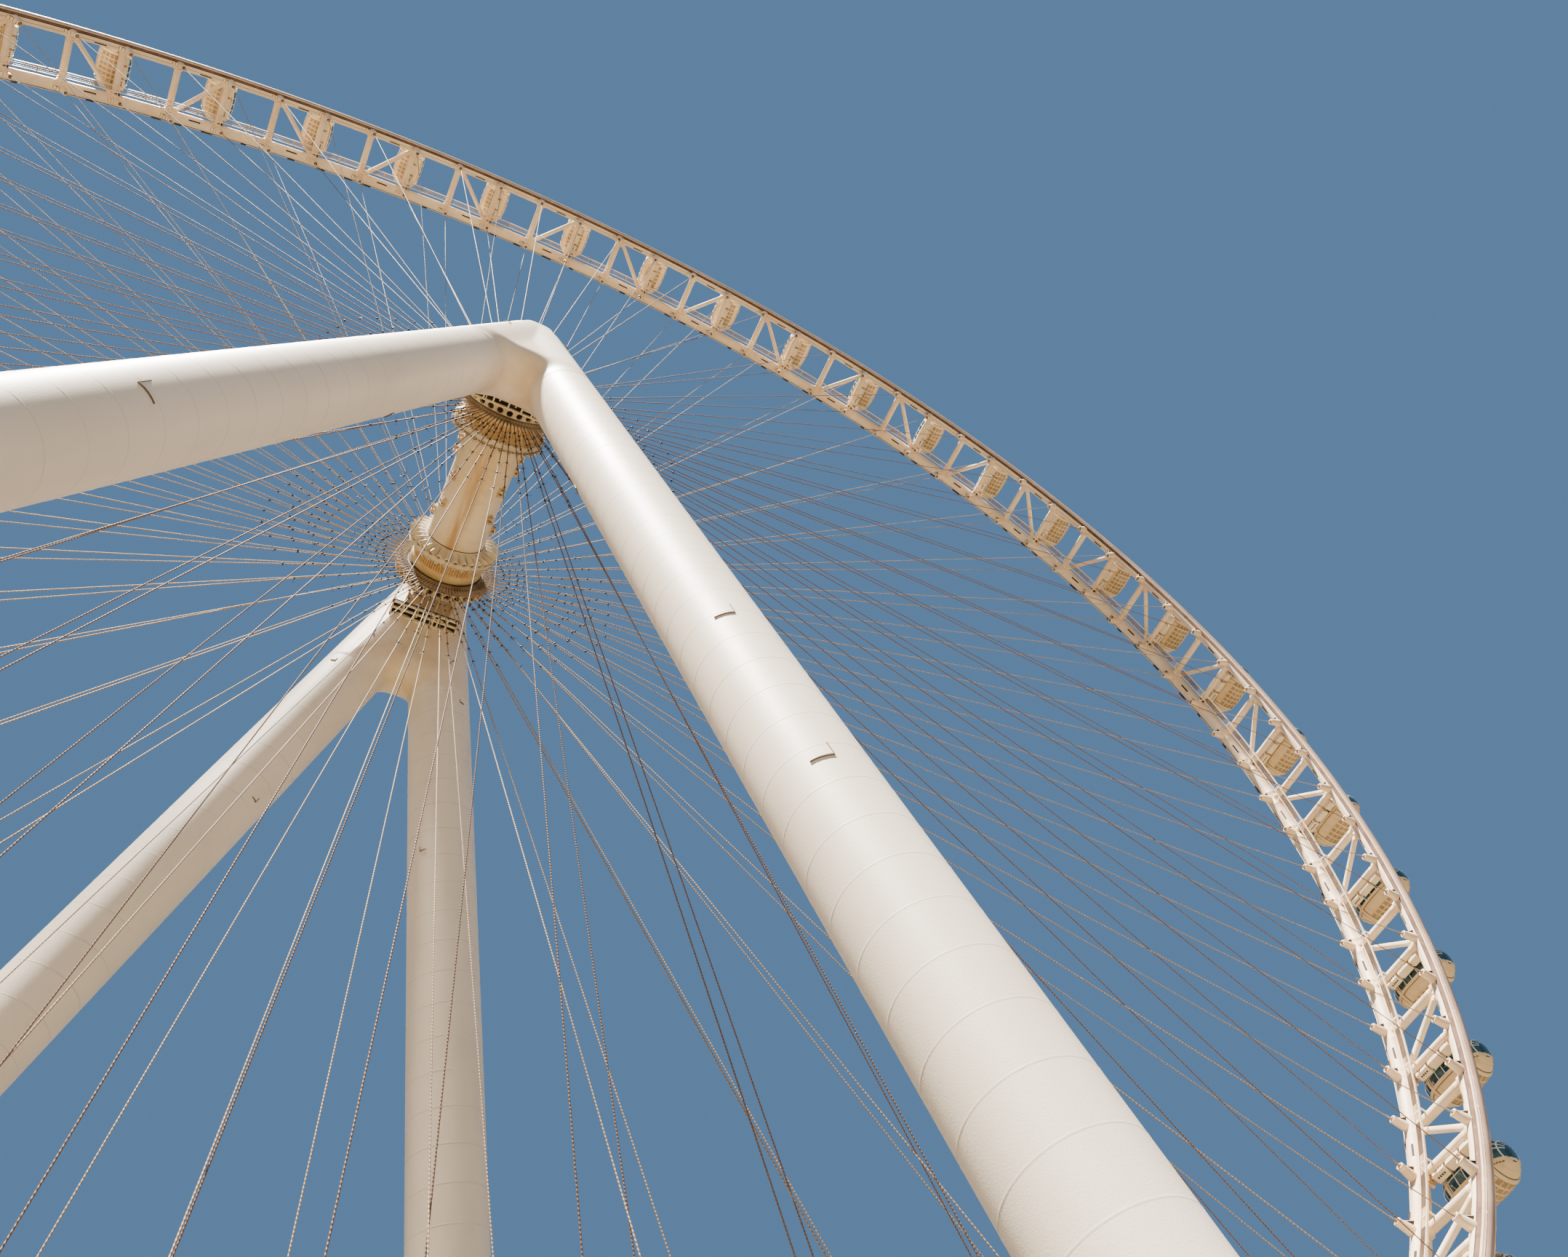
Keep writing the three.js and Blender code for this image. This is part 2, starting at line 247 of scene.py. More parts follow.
class Stock:
    """Corners and faces of one fabricated piece, and the finish of each face. Parts are made for the
    back of the wheel; while side is -1, they are mirrored to its front."""

    def __init__(self, side=1):
        self.side, self.points, self.faces, self.finishes, self.total = side, [], [], [], 0

    def add(self, part, finish):
        """Adds a part, with its faces turned to look outward."""
        points, faces = part
        if self.side < 0:
            points, faces = points * (1, -1, 1), [g[:, ::-1] for g in faces]
        centre, volume = points.mean(0), 0.0
        for g in faces:
            p = points[g] - centre
            for k in range(1, g.shape[1] - 1):
                volume += np.einsum("ij,ij->", p[:, 0], np.cross(p[:, k], p[:, k + 1]))
        if finish not in self.finishes:
            self.finishes.append(finish)
        mark = self.finishes.index(finish)
        self.points.append(points)
        for g in faces:
            self.faces.append(((g if volume >= 0 else g[:, ::-1]) + self.total, mark))
        self.total += len(points)

    def mesh(self, name, crease=46):
        """One smooth mesh, sharp where faces meet at more than the crease in degrees."""
        made = bpy.data.meshes.new(name)
        points = np.concatenate(self.points)
        corners = np.concatenate([g.ravel() for g, _ in self.faces])
        sizes = np.concatenate([np.full(len(g), g.shape[1]) for g, _ in self.faces])
        marks = np.concatenate([np.full(len(g), mark) for g, mark in self.faces])
        made.vertices.add(len(points))
        made.vertices.foreach_set("co", points.ravel())
        made.loops.add(len(corners))
        made.loops.foreach_set("vertex_index", corners.astype(np.int32))
        made.polygons.add(len(sizes))
        made.polygons.foreach_set("loop_start", (np.cumsum(sizes) - sizes).astype(np.int32))
        made.polygons.foreach_set("material_index", marks.astype(np.int32))
        made.update(calc_edges=True)
        made.validate()
        made.polygons.foreach_set("use_smooth", np.ones(len(made.polygons), bool))
        made.set_sharp_from_angle(angle=math.radians(crease))
        for finish in self.finishes:
            made.materials.append(finish.material)
        return made

    def piece(self, name, body, nodes=(), crease=46):
        placed(name, self.mesh(name, crease), body, nodes)


def placed(name, mesh, body, nodes=(), at=(0, 0, 0)):
    """A piece in the scene: on its body, standing for its CAD nodes."""
    made = bpy.data.objects.new(name, mesh)
    made.location = at
    bpy.context.scene.collection.objects.link(made)
    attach(made, body)
    if nodes:
        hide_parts(*nodes)


RUST_SPOTS = ((0.0, 1.62, 11.72, 0.85, 0.85), (0.1, 1.35, 12.55, 0.75, 0.7))    # under a web, at a boss
leg_paint = painted_steel("leg_paint", (254, 238, 218), (244, 230, 208), grime=0.13, grain=0.9,
                          spots=RUST_SPOTS)
weld_paint = painted_steel("weld_paint", (244, 232, 214), (232, 218, 198), grime=0.2)
lug_steel = painted_steel("lug_steel", (120, 104, 88), (92, 78, 64), grime=0.6, rust=0.4, grain=4)
bolt_steel = painted_steel("bolt_steel", (126, 118, 108), (96, 88, 80), grime=0.4, rust=0.3, grain=6)

ENDS = ((-1, "front"), (1, "back"))         # the side of the wheel along Y, and its name
LEG_SIDES = 56
BEAD, BEAD_HALF = 0.0011, 0.007             # height and half width of a weld bead
BASE_BOLTS, BOLT_CIRCLE, BASE_RIBS = 24, 0.372, 12
UP = (0, 0, 1)
# cable guides left on the plates: distance from the apex, angle round the leg and size
GUIDES = ((2.04, 2.0, 0.4), (3.92, 0.6, 0.5), (7.06, -1.24, 1.0), (8.63, -1.24, 1.0), (11.7, -2.6, 1.0))
for side, end in ENDS:
    for lr, hand in ((-1, "left"), (1, "right")):
        top, foot, down = APEX * (1, side, 1), FOOT * (lr, side, 1), DOWN * (lr, side, 1)
        leg = Stock()
        outline = [(CROWN_REACH + 0.001, LEG_R - 0.001), (CROWN_REACH + 0.001, LEG_R + BEAD),
                   (CROWN_REACH + 0.011, LEG_R + BEAD), (CROWN_REACH + 0.014, LEG_R)]
        weld = CROWN_REACH + PLATE
        while weld < LEG_LENGTH - 0.25:
            outline += [(weld - BEAD_HALF, LEG_R), (weld, LEG_R + BEAD), (weld + BEAD_HALF, LEG_R)]
            weld += PLATE
        outline.append((LEG_LENGTH - 0.15, LEG_R))
        points, faces = turned(top, down, outline, LEG_SIDES, caps=False)
        last = points[-LEG_SIDES:]          # this ring is let down on to the base plate
        points[-LEG_SIDES:] = last + np.outer((BASE_H - last[:, 2]) / down[2], down)
        ring_of = np.arange(len(faces[0])) // LEG_SIDES
        raised = np.array([max(outline[i][1], outline[i + 1][1]) > LEG_R for i in ring_of])
        leg.add((points, [faces[0][~raised]]), leg_paint)
        leg.add((points, [faces[0][raised]]), weld_paint)
        plate = [(0, BASE_R), (BASE_H - 0.006, BASE_R), (BASE_H, BASE_R - 0.006)]
        leg.add(turned(foot, UP, plate, 64), leg_paint)
        for k in range(BASE_BOLTS):
            a = 2 * math.pi * (k + 0.5) / BASE_BOLTS
            at = foot + (BOLT_CIRCLE * math.cos(a), BOLT_CIRCLE * math.sin(a), BASE_H - 0.002)
            bolt = [(0, 0.016), (0.004, 0.016), (0.004, 0.012), (0.018, 0.012)]
            leg.add(turned(at, UP, bolt, 6), bolt_steel)
        for k in range(BASE_RIBS):
            a = 2 * math.pi * k / BASE_RIBS
            out = np.array([math.cos(a), math.sin(a), 0.0])
            across = np.array([-out[1], out[0], 0.0]) * 0.006
            reach, high = np.array([(0.27, 0), (0.365, 0), (0.365, 0.02), (0.27, 0.19)]).T
            flat = foot + np.outer(reach, out) + np.outer((high + BASE_H) / down[2], down)
            leg.add(loft([flat - across, flat + across]), leg_paint)
        # each guide is a curved bar round the leg with a thin one up from its end
        over = unit(np.cross(down, (0, side, 0)))
        beside = np.cross(down, over)
        for reach, turn, size in GUIDES:
            turn = turn if lr * side < 0 else math.pi - turn
            rings = []
            for n, t in enumerate(turn - lr * side * np.linspace(0, 0.42 * size, 7)):
                out = math.cos(t) * over + math.sin(t) * beside
                middle, thick = top + down * (reach - 0.004 * math.sin(n * 0.5)), 0.0045 - 0.003 * n / 6
                rings.append([middle + out * (LEG_R + h) + down * d for h, d in
                              ((-0.002, -thick), (0.009, -thick), (0.009, thick), (-0.002, thick))])
            leg.add(loft(rings), lug_steel)
            out = math.cos(turn) * over + math.sin(turn) * beside
            leg.add(block(top + down * (reach - 0.056 * size) + out * (LEG_R + 0.002),
                          (down, np.cross(down, out), out), (0.058 * size, 0.0014, 0.004)), lug_steel)
        leg.piece(f"leg_column_{end}_{hand}", "stand", [f"{end}_{hand}_leg"], crease=60)


# Crowns: where two legs meet, the tubes bend into each other over a thick web whose lower edge is
# rounded. It is one smooth weldment of steel plate, with a boss for the bearing, painted like the legs.
BEND_R = 0.074
HALF_FORK = math.atan(DOWN[0] / math.hypot(DOWN[1], DOWN[2]))
FRAME_DOWN = unit((0, DOWN[1], DOWN[2]))
FRAME_OUT = np.array([0, -FRAME_DOWN[2], FRAME_DOWN[1]])
WEB_HALF, WEB_EDGE, WEB_ROUND, WEB_ARCH = 0.272, 1.70, 0.19, 0.09
WEB_FILLET, BOSS_FILLET = 0.10, 0.09
BOSS_R, BOSS_Y, BOSS_HALF = 0.27, 1.47, 0.17
CROWN_GRID = 0.026


def merge(a, b, radius):
    """Union of two distance fields with a fillet."""
    h = np.maximum(radius - np.abs(a - b), 0) / radius
    return np.minimum(a, b) - h * h * radius / 4


def crown_field(p):
    """Distance to the back crown's surface, inside below zero."""
    q = p - APEX
    s, n, a = q @ FRAME_DOWN, q @ FRAME_OUT, np.abs(q[..., 0])
    across = a * math.cos(HALF_FORK) - s * math.sin(HALF_FORK)
    along = a * math.sin(HALF_FORK) + s * math.cos(HALF_FORK)
    bend = np.abs(np.hypot(a, s - BEND_R / math.sin(HALF_FORK)) - BEND_R)
    line = np.where(along < BEND_R / math.tan(HALF_FORK), bend, np.abs(across))
    radius = LEG_R - 0.6 * np.clip(along - CROWN_REACH - 0.004, 0, 0.05)
    tube = np.maximum(np.hypot(line, n) - radius, along - CROWN_REACH - 0.04)
    edge = WEB_EDGE + WEB_ARCH * (a / 0.42) ** 2
    over_n, over_s = np.abs(n) - (WEB_HALF - WEB_ROUND), s - (edge - WEB_ROUND)
    web = np.hypot(np.maximum(over_n, 0), np.maximum(over_s, 0))
    web = web + np.minimum(np.maximum(over_n, over_s), 0) - WEB_ROUND
    web = np.maximum(web, across - 0.02)
    y, z = p[..., 1], p[..., 2] - HUB
    boss = np.maximum(np.hypot(p[..., 0], z) - BOSS_R, np.abs(y - BOSS_Y) - BOSS_HALF)
    return merge(merge(tube, web, WEB_FILLET), boss, BOSS_FILLET)


def skin(field, low, high, step):
    """Quad skin of the solid where the field is below zero, drawn on to its surface."""
    axes = [np.arange(a, b + step, step) for a, b in zip(low, high)]
    inside = field(np.stack(np.meshgrid(*axes, indexing="ij"), -1)) < 0
    m = [len(a) - 1 for a in axes]
    count = sum(inside[i:m[0] + i, j:m[1] + j, k:m[2] + k].astype(int)
                for i in (0, 1) for j in (0, 1) for k in (0, 1))
    cells = np.argwhere((count > 0) & (count < 8))
    number = np.full(m, -1)
    number[tuple(cells.T)] = np.arange(len(cells))
    points = np.array(low) + (cells + 0.5) * step
    quads = []
    for axis in range(3):
        a, b = (axis + 1) % 3, (axis + 2) % 3
        first, second = [np.take(inside, np.arange(s, m[axis] + s), axis) for s in (0, 1)]
        edges = np.argwhere(first != second)
        edges = edges[(edges[:, a] > 0) & (edges[:, b] > 0) & (edges[:, a] < m[a]) & (edges[:, b] < m[b])]
        ring = []
        for da, db in ((1, 1), (0, 1), (0, 0), (1, 0)):
            cell = edges.copy()
            cell[:, a] -= da
            cell[:, b] -= db
            ring.append(number[tuple(cell.T)])
        ring = np.stack(ring, 1)
        outward = first[tuple(edges.T)]
        ring[~outward] = ring[~outward][:, ::-1]
        quads.append(ring)
    quads = np.concatenate(quads)
    reach = step * 1e-2
    for turn in range(7):
        if 0 < turn < 4:        # even out the net before it is drawn down again
            total, share = np.zeros_like(points), np.zeros(len(points))
            for k in range(4):
                beside = points[quads[:, (k + 1) % 4]] + points[quads[:, (k + 3) % 4]]
                np.add.at(total, quads[:, k], beside)
                np.add.at(share, quads[:, k], 2)
            points = 0.4 * points + 0.6 * total / share[:, None]
        value = field(points)
        rise = [field(points + reach * e) - field(points - reach * e) for e in np.eye(3)]
        slope = np.stack(rise, -1) / (2 * reach)
        points = points - slope * (value / np.maximum((slope ** 2).sum(-1), 1e-6))[:, None]
    return points, [quads]


crown_skin = skin(crown_field, (-0.90, 1.06, HUB - 1.75), (0.90, 2.32, HUB + 0.62), CROWN_GRID)
# staple-shaped eyes and clips on both faces of the web: place across it and down it, face, and turn
WEB_EYES = ((-0.14, 0.62, -1, 0.4), (0.20, 0.86, -1, 0.9), (-0.02, 1.16, -1, 0.2), (0.3, 0.5, 1, 0.7),
            (-0.40, 1.44, -1, 1.2), (0.42, 1.46, -1, -1.2), (-0.28, 0.9, 1, 0.1))
for side, end in ENDS:
    crown = Stock(side)
    crown.add(crown_skin, leg_paint)
    for x, s, face, spin in WEB_EYES:
        lift = FRAME_OUT * face
        base = APEX + (x, 0, 0) + FRAME_DOWN * s + lift * 0.45
        for _ in range(24):             # let down on to the web
            base = base - lift * float(crown_field(base[None])[0])
        bar = math.cos(spin) * np.array([1.0, 0, 0]) + math.sin(spin) * FRAME_DOWN
        for tip in (-1, 1):
            stub = turned(base + bar * 0.03 * tip - lift * 0.004, lift, [(0, 0.007), (0.018, 0.005)], 6)
            crown.add(stub, lug_steel)
        crown.add(turned(base + lift * 0.013 - bar * 0.033, bar, [(0, 0.004), (0.066, 0.004)], 6), lug_steel)
    crown.piece(f"crown_{end}", "stand", [f"{end}_crown"], crease=80)


# Platforms: under each bearing an open grating of painted flat bars in uneven columns hangs in front
# of the web, with a near-black sheet on it that is painted shade seen through the openings, side plates
# up to the crown and hangers up to the housing.
PLATFORM_X, PLATFORM_Y, PLATFORM_Z = 0.352, (1.238, 1.43), (HUB - 0.70, HUB - 0.64)
PLATFORM_ROWS, PLATFORM_RIB = (1.314, 1.392), 0.016
PLATFORM_COLUMNS = {-1: (0, 0.16, 0.30, 0.52, 0.71, 0.86, 1), 1: (0, 0.17, 0.35, 0.51, 0.64, 0.71, 0.84, 1)}
platform_paint = painted_steel("platform_paint", (238, 220, 182), (216, 194, 152), rust=0.1, grain=4)
# near-black paint that stands for shade: the platforms' sheets and the housings' drum linings
painted_shade_inside = painted_steel("painted_shade_inside", (30, 23, 19), (18, 14, 12), grime=0.25, rust=0.05, grain=3,
                            roughness=0.8)


def straight_block(centre, halves):
    """Box along X, Y and Z."""
    return block(centre, np.eye(3), halves)


for side, end in ENDS:
    deck = Stock(side)
    x0, (y0, y1), (z0, z1), rib = PLATFORM_X, PLATFORM_Y, PLATFORM_Z, PLATFORM_RIB
    middle, half = (y0 + y1) / 2, (y1 - y0) / 2
    for c, share in enumerate(PLATFORM_COLUMNS[side]):
        x, low = -x0 + rib / 2 + share * (2 * x0 - rib), z0 + 0.014
        deck.add(straight_block((x, middle, z0 + 0.016), (rib / 2, half, 0.014)), platform_paint)
        if c in (1, 5):                 # thin bars beside two columns, and one across at a third
            deck.add(straight_block((x + 0.024, y0 + 0.04, low), (0.0035, 0.04, 0.008)), platform_paint)
        if c == 4:
            deck.add(straight_block((x + 0.05, y0 + 0.052, low), (0.05, 0.004, 0.008)), platform_paint)
    for y in (y0 + rib / 2, *PLATFORM_ROWS):
        deck.add(straight_block((0, y, z0 + 0.015), (x0, rib / 2, 0.015)), platform_paint)
    # painted shade: a near-black sheet over the grating, seen through its openings
    deck.add(straight_block((0, middle, z1 - 0.008), (x0 - 0.003, half - 0.003, 0.006)), painted_shade_inside)
    deck.add(straight_block((0, y1 - 0.016, z0 + 0.02), (x0, 0.016, 0.018)), platform_paint)
    for x in (-x0 + 0.006, x0 - 0.006):
        deck.add(straight_block((x, middle, z0 + 0.045), (0.006, half, 0.045)), platform_paint)
    for x in (-0.24, -0.08, 0.08, 0.24):
        deck.add(straight_block((x, 1.32, z0 + 0.24), (0.008, 0.05, 0.20)), platform_paint)
    deck.piece(f"platform_{end}", "stand")


# Bearing housings: a welded drum with a row of round holes stands round each bearing, lined with
# near-black paint as painted shade behind the holes, and a stepped cover with bolts and ribs joins it
# to the crown. It is painted steel with rust stains.
DRUM_R, DRUM_Y, DRUM_PLATE = 0.495, (1.083, 1.155), 0.03
DRUM_HOLES, DRUM_HOLE_R, COVER_BOLTS = 31, 0.0325, 36
AXLE = np.array([0.0, 1.0, 0.0])        # the way the axle runs
housing_paint = painted_steel("housing_paint", (236, 214, 174), (208, 178, 132), grime=0.4, rust=0.3,
                              grain=3)


def together(parts):
    """Several parts as one."""
    points, groups, total = [], {}, 0
    for p, faces in parts:
        points.append(p)
        for g in faces:
            groups.setdefault(g.shape[1], []).append(g + total)
        total += len(p)
    return np.concatenate(points), [np.concatenate(g) for g in groups.values()]


def spot(angle, radius, y):
    """Place about the axle. Every angle about it is clockwise from the top, seen from the front."""
    return np.array([radius * math.sin(angle), y, HUB + radius * math.cos(angle)])


def round_axle(part, count, start=0.0):
    """Copies of a part made above the axle, turned about it."""
    points, faces = part
    x, y, z = points[:, 0], points[:, 1], points[:, 2] - HUB
    copies = []
    for a in start + 2 * math.pi * np.arange(count) / count:
        turned_x, turned_z = x * math.cos(a) + z * math.sin(a), z * math.cos(a) - x * math.sin(a)
        copies.append((np.stack([turned_x, y, HUB + turned_z], 1), faces))
    return together(copies)


def blocks_about(count, start, radius, y, halves):
    """Row of boxes about the axle; halves are outward, round the axle and along it."""
    out, clock, along = halves
    return round_axle(straight_block((0, y, HUB + radius), (clock, along, out)), count, start)


def hoop(outlines, angles, closed=True):
    """Outline of (radius, y) carried about the axle through these angles, or one outline for each."""
    outlines = np.broadcast_to(outlines, (len(angles), *np.shape(outlines)[-2:]))
    s, c = np.sin(angles)[:, None], np.cos(angles)[:, None]
    rings = np.stack([outlines[..., 0] * s, outlines[..., 1], HUB + outlines[..., 0] * c], -1)
    return loft(rings, closed=closed)


def about_axle(outline, sides):
    """Closed outline of (radius, y) turned once about the axle."""
    return hoop(outline, 2 * np.pi * np.arange(sides) / sides)


def strip(r0, r1, y0, y1):
    """Outline of a flat band between two radii."""
    return [(r0, y0), (r1, y0), (r1, y1), (r0, y1)]


def holed_band(radius, y0, y1, count, hole, depth):
    """Cylindrical band about the axle with a row of round holes, and the bore of each."""
    row = np.array([(-1, -1), (-0.5, -1), (0, -1), (0.5, -1)])
    edge = np.concatenate([row, row[:, ::-1] * (-1, 1), -row, row[:, ::-1] * (1, -1)])
    edge = edge * (math.pi / count * radius, (y1 - y0) / 2)
    rim = hole * edge / np.linalg.norm(edge, axis=1)[:, None]
    rings = []
    for flat, r in ((edge, radius), (rim, radius), (rim, radius - depth)):
        a = flat[:, 0] / radius
        rings.append(np.stack([r * np.sin(a), (y0 + y1) / 2 + flat[:, 1], HUB + r * np.cos(a)], 1))
    return round_axle(loft(rings, caps=False), count)


for side, end in ENDS:
    housing = Stock(side)
    y0, y1 = DRUM_Y
    inner = DRUM_R - DRUM_PLATE
    housing.add(holed_band(DRUM_R, y0, y1, DRUM_HOLES, DRUM_HOLE_R, DRUM_PLATE), housing_paint)
    # the near-black lining is painted shade inside the drum
    housing.add(about_axle(strip(inner - 0.006, inner, y0, y1), 64), painted_shade_inside)
    housing.add(about_axle(strip(0.30, DRUM_R - 0.002, y0, y0 + 0.003), 96), housing_paint)
    housing.add(about_axle([(0.2, y1), (DRUM_R + 0.004, y1), (DRUM_R + 0.004, y1 + 0.010), (0.40, y1 + 0.014),
                            (0.33, 1.25), (0.27, 1.30), (0.27, 1.42), (0.2, 1.42)], 96), housing_paint)
    for k in range(COVER_BOLTS):
        at = spot(2 * math.pi * k / COVER_BOLTS, 0.45, y1 + 0.008)
        housing.add(turned(at, AXLE, [(0, 0.010), (0.014, 0.010)], 6), bolt_steel)
    ribs = blocks_about(COVER_BOLTS // 2, 2 * math.pi / COVER_BOLTS, 0.37, y1 + 0.045, (0.065, 0.006, 0.035))
    housing.add(ribs, housing_paint)
    housing.piece(f"bearing_housing_{end}", "stand")


# Spindle: the fixed steel axle, seen only between the hub's ends and the bearing housings, where
# a wiper ring keeps the dust out.
SPINDLE_R, SPINDLE_HALF, WIPER_R = 0.12, 1.1497, 0.14
spindle_finish = Finish("spindle_steel", Metallic=0.85)
scratch = spindle_finish.noise(30, (1, 8, 1), 5)
spindle_finish.feed("Base Color", spindle_finish.blend(scratch, srgb(132, 126, 118), srgb(84, 76, 66)))
spindle_finish.feed("Roughness", 0.3 + 0.25 * scratch)
spindle_finish.bump(scratch, 0.0006)


def both_ends(outline, length):
    """Outline of a bar of this length from that of its first end, the other end like it."""
    return outline + [(length - t, r) for t, r in reversed(outline)]


spindle = Stock()
spindle.add(turned((0, -SPINDLE_HALF, HUB), AXLE, both_ends(
    [(0, SPINDLE_R - 0.004), (0.004, SPINDLE_R), (0.03, SPINDLE_R), (0.03, WIPER_R), (0.045, WIPER_R),
     (0.045, SPINDLE_R)], 2 * SPINDLE_HALF), 64), spindle_finish)
spindle.piece("spindle_bar", "stand", ["spindle"])


# Hub barrel: a plated tube that turns on the spindle, with a dark joint ring near each end and a
# bolted flare behind it. Shipping brackets are left on its flanks, and rust has run along its underside.
BARREL_R, BARREL_SEAM_Y, HUB_HALF, FLARE_BOLTS = 0.304, 0.640, 1.074, 48
# brackets, each on both flanks: angle about the axle and y
BRACKETS = ((2.24, -0.13), (2.24, 0.21), (1.62, -0.34), (1.62, -0.49), (1.62, 0.40), (0.9, -0.25),
            (0.9, 0.33))
barrel_paint = painted_steel("barrel_paint", (248, 224, 184), (236, 206, 158), grime=0.22, rust=0.05,
                             grain=1.8)
f = barrel_paint
wander = f.along_axis(0) + 0.10 * f.noise(1.5) - 0.03
off_middle = f.node("ShaderNodeMath", {"operation": "ABSOLUTE"}, {0: wander})
under = 1.0 - f.fade(f.along_axis(2), HUB - 0.30, HUB - 0.16)
streak = (1.0 - f.fade(off_middle, 0.0, 0.12)) * under * f.fade(f.noise(14, (1, 0.12, 1), 6), 0.18, 0.55)
base = Wire(f, f.shader.inputs["Base Color"].links[0].from_socket)
f.feed("Base Color", f.blend(streak * 0.85, base, srgb(190, 138, 76)))
# dark paint for seams, joints and pins, and painted shade in the flanges' socket slots
dark_seams_and_slot_shade = painted_steel("dark_seams_and_slot_shade", (66, 58, 50), (46, 40, 34), grime=0.3, rust=0.2, grain=4)
rusty_plate = painted_steel("rusty_plate", (226, 200, 160), (196, 164, 118), grime=0.6, rust=0.3, grain=9)


def axle_frame(angle):
    """Directions at this angle about the axle: outward and clockwise."""
    return np.array([math.sin(angle), 0, math.cos(angle)]), np.array([math.cos(angle), 0, -math.sin(angle)])


barrel = Stock()
seam, tube_half = BARREL_SEAM_Y, BARREL_SEAM_Y + 0.01
barrel.add(turned((0, -tube_half, HUB), AXLE, [(0, BARREL_R), (2 * tube_half, BARREL_R)], 96, caps=False),
           barrel_paint)
for side, _ in ENDS:
    barrel.side = side
    barrel.add(about_axle(strip(0.29, BARREL_R + 0.006, seam, seam + 0.007), 96), dark_seams_and_slot_shade)
    barrel.add(about_axle([(0.29, seam + 0.007), (BARREL_R + 0.010, seam + 0.007),
                           (BARREL_R + 0.016, seam + 0.012), (BARREL_R + 0.018, seam + 0.03), (0.36, 0.70),
                           (0.36, HUB_HALF), (0.13, HUB_HALF), (0.13, HUB_HALF - 0.01), (0.29, 0.7)], 96),
               barrel_paint)
    for k in range(FLARE_BOLTS):
        at = spot(2 * math.pi * k / FLARE_BOLTS, BARREL_R + 0.008, seam + 0.006)
        barrel.add(turned(at, AXLE, [(0, 0.004), (0.008, 0.004)], 6), barrel_paint)
barrel.side = 1
for turn, y in BRACKETS:
    for a in (-turn, turn):
        out, clock = axle_frame(a)
        pin = spot(a, BARREL_R + 0.030, y)
        barrel.add(blocks_about(1, a, BARREL_R + 0.004, y, (0.008, 0.034, 0.050)), rusty_plate)
        for e in (-0.026, 0.026):
            barrel.add(blocks_about(1, a, BARREL_R + 0.026, y + e, (0.022, 0.026, 0.013)), rusty_plate)
            start = pin + AXLE * e - clock * 0.036
            barrel.add(turned(start, clock, [(0, 0.010), (0.072, 0.010)], 8), rusty_plate)
        barrel.add(turned(pin - AXLE * 0.044, AXLE, [(0, 0.007), (0.088, 0.007)], 8), dark_seams_and_slot_shade)
barrel.piece("hub_barrel_shell", "wheel", ["hub_barrel"])


# Hub flanges: a pleated skirt of pressed plate spreads from the barrel to a narrow stiffener band.
# Behind it, rust lies between short ribs; a toothed collar over a near-black ring that paints the shade
# in its gaps, a plain one of golden primer and a dark gasket lead on to the steel ring of cable
# sockets, whose brown paint is darkened as painted shade.
NODES, STEP, PHASE = 96, 2 * math.pi / 96, math.radians(-0.37)
BAND_R, BAND_Y = 0.462, (0.716, 0.776)
COLLAR_R, TEETH = 0.372, 84
SOCKET_R, SOCKET_Y = 0.5, (1.026, 1.070)
PLEATS = 32
# the skirt's section as (radius, y, share of the fold), and its shift of (radius, y) round one pleat
SKIRT = ((0.325, 0.652, 0), (0.352, 0.656, 0.1), (0.40, 0.676, 0.6), (0.456, 0.692, 1), (0.456, 0.712, 0.9),
         (0.40, 0.716, 0), (0.33, 0.716, 0))
FOLD = ((0.027, -0.030), (0.020, -0.018), (0.0, 0.004), (-0.018, 0.020), (0.0, 0.004), (0.020, -0.018))
flange_paint = painted_steel("flange_paint", (228, 210, 174), (200, 180, 142), grime=0.5, rust=0.12, grain=5)
pocket_rust = painted_steel("pocket_rust", (226, 188, 126), (206, 158, 90), grime=0.5, rust=0.42, grain=7)
primer_gold = painted_steel("primer_gold", (228, 198, 138), (204, 170, 108), grime=0.5, rust=0.16, grain=6)
# near-black paint as painted shade: the collar's gaps and the slots on the socket rim
painted_slot_shade = painted_steel("painted_slot_shade", (96, 62, 34), (66, 42, 26), grime=0.3, rust=0.2, grain=5)
# brown paint for dirt, darkened as painted shade: front fins, stops in the folds, socket ring
brown_dirt_and_shade = painted_steel("brown_dirt_and_shade", (164, 140, 106), (124, 100, 72), grime=0.6, rust=0.3, grain=8)


def pleated(outline, fold):
    """Ring about the axle; each point of its outline takes its share of the fold."""
    outline, fold = np.array(outline), np.tile(fold, (PLEATS, 1))
    return hoop(outline[:, :2] + outline[:, 2:] * fold[:, None], 2 * np.pi * np.arange(len(fold)) / len(fold))


def upright_plate(outline, half):
    """Flat plate above the axle with this outline of (radius, y)."""
    return loft([[(x, y, HUB + r) for r, y in outline] for x in (-half, half)])


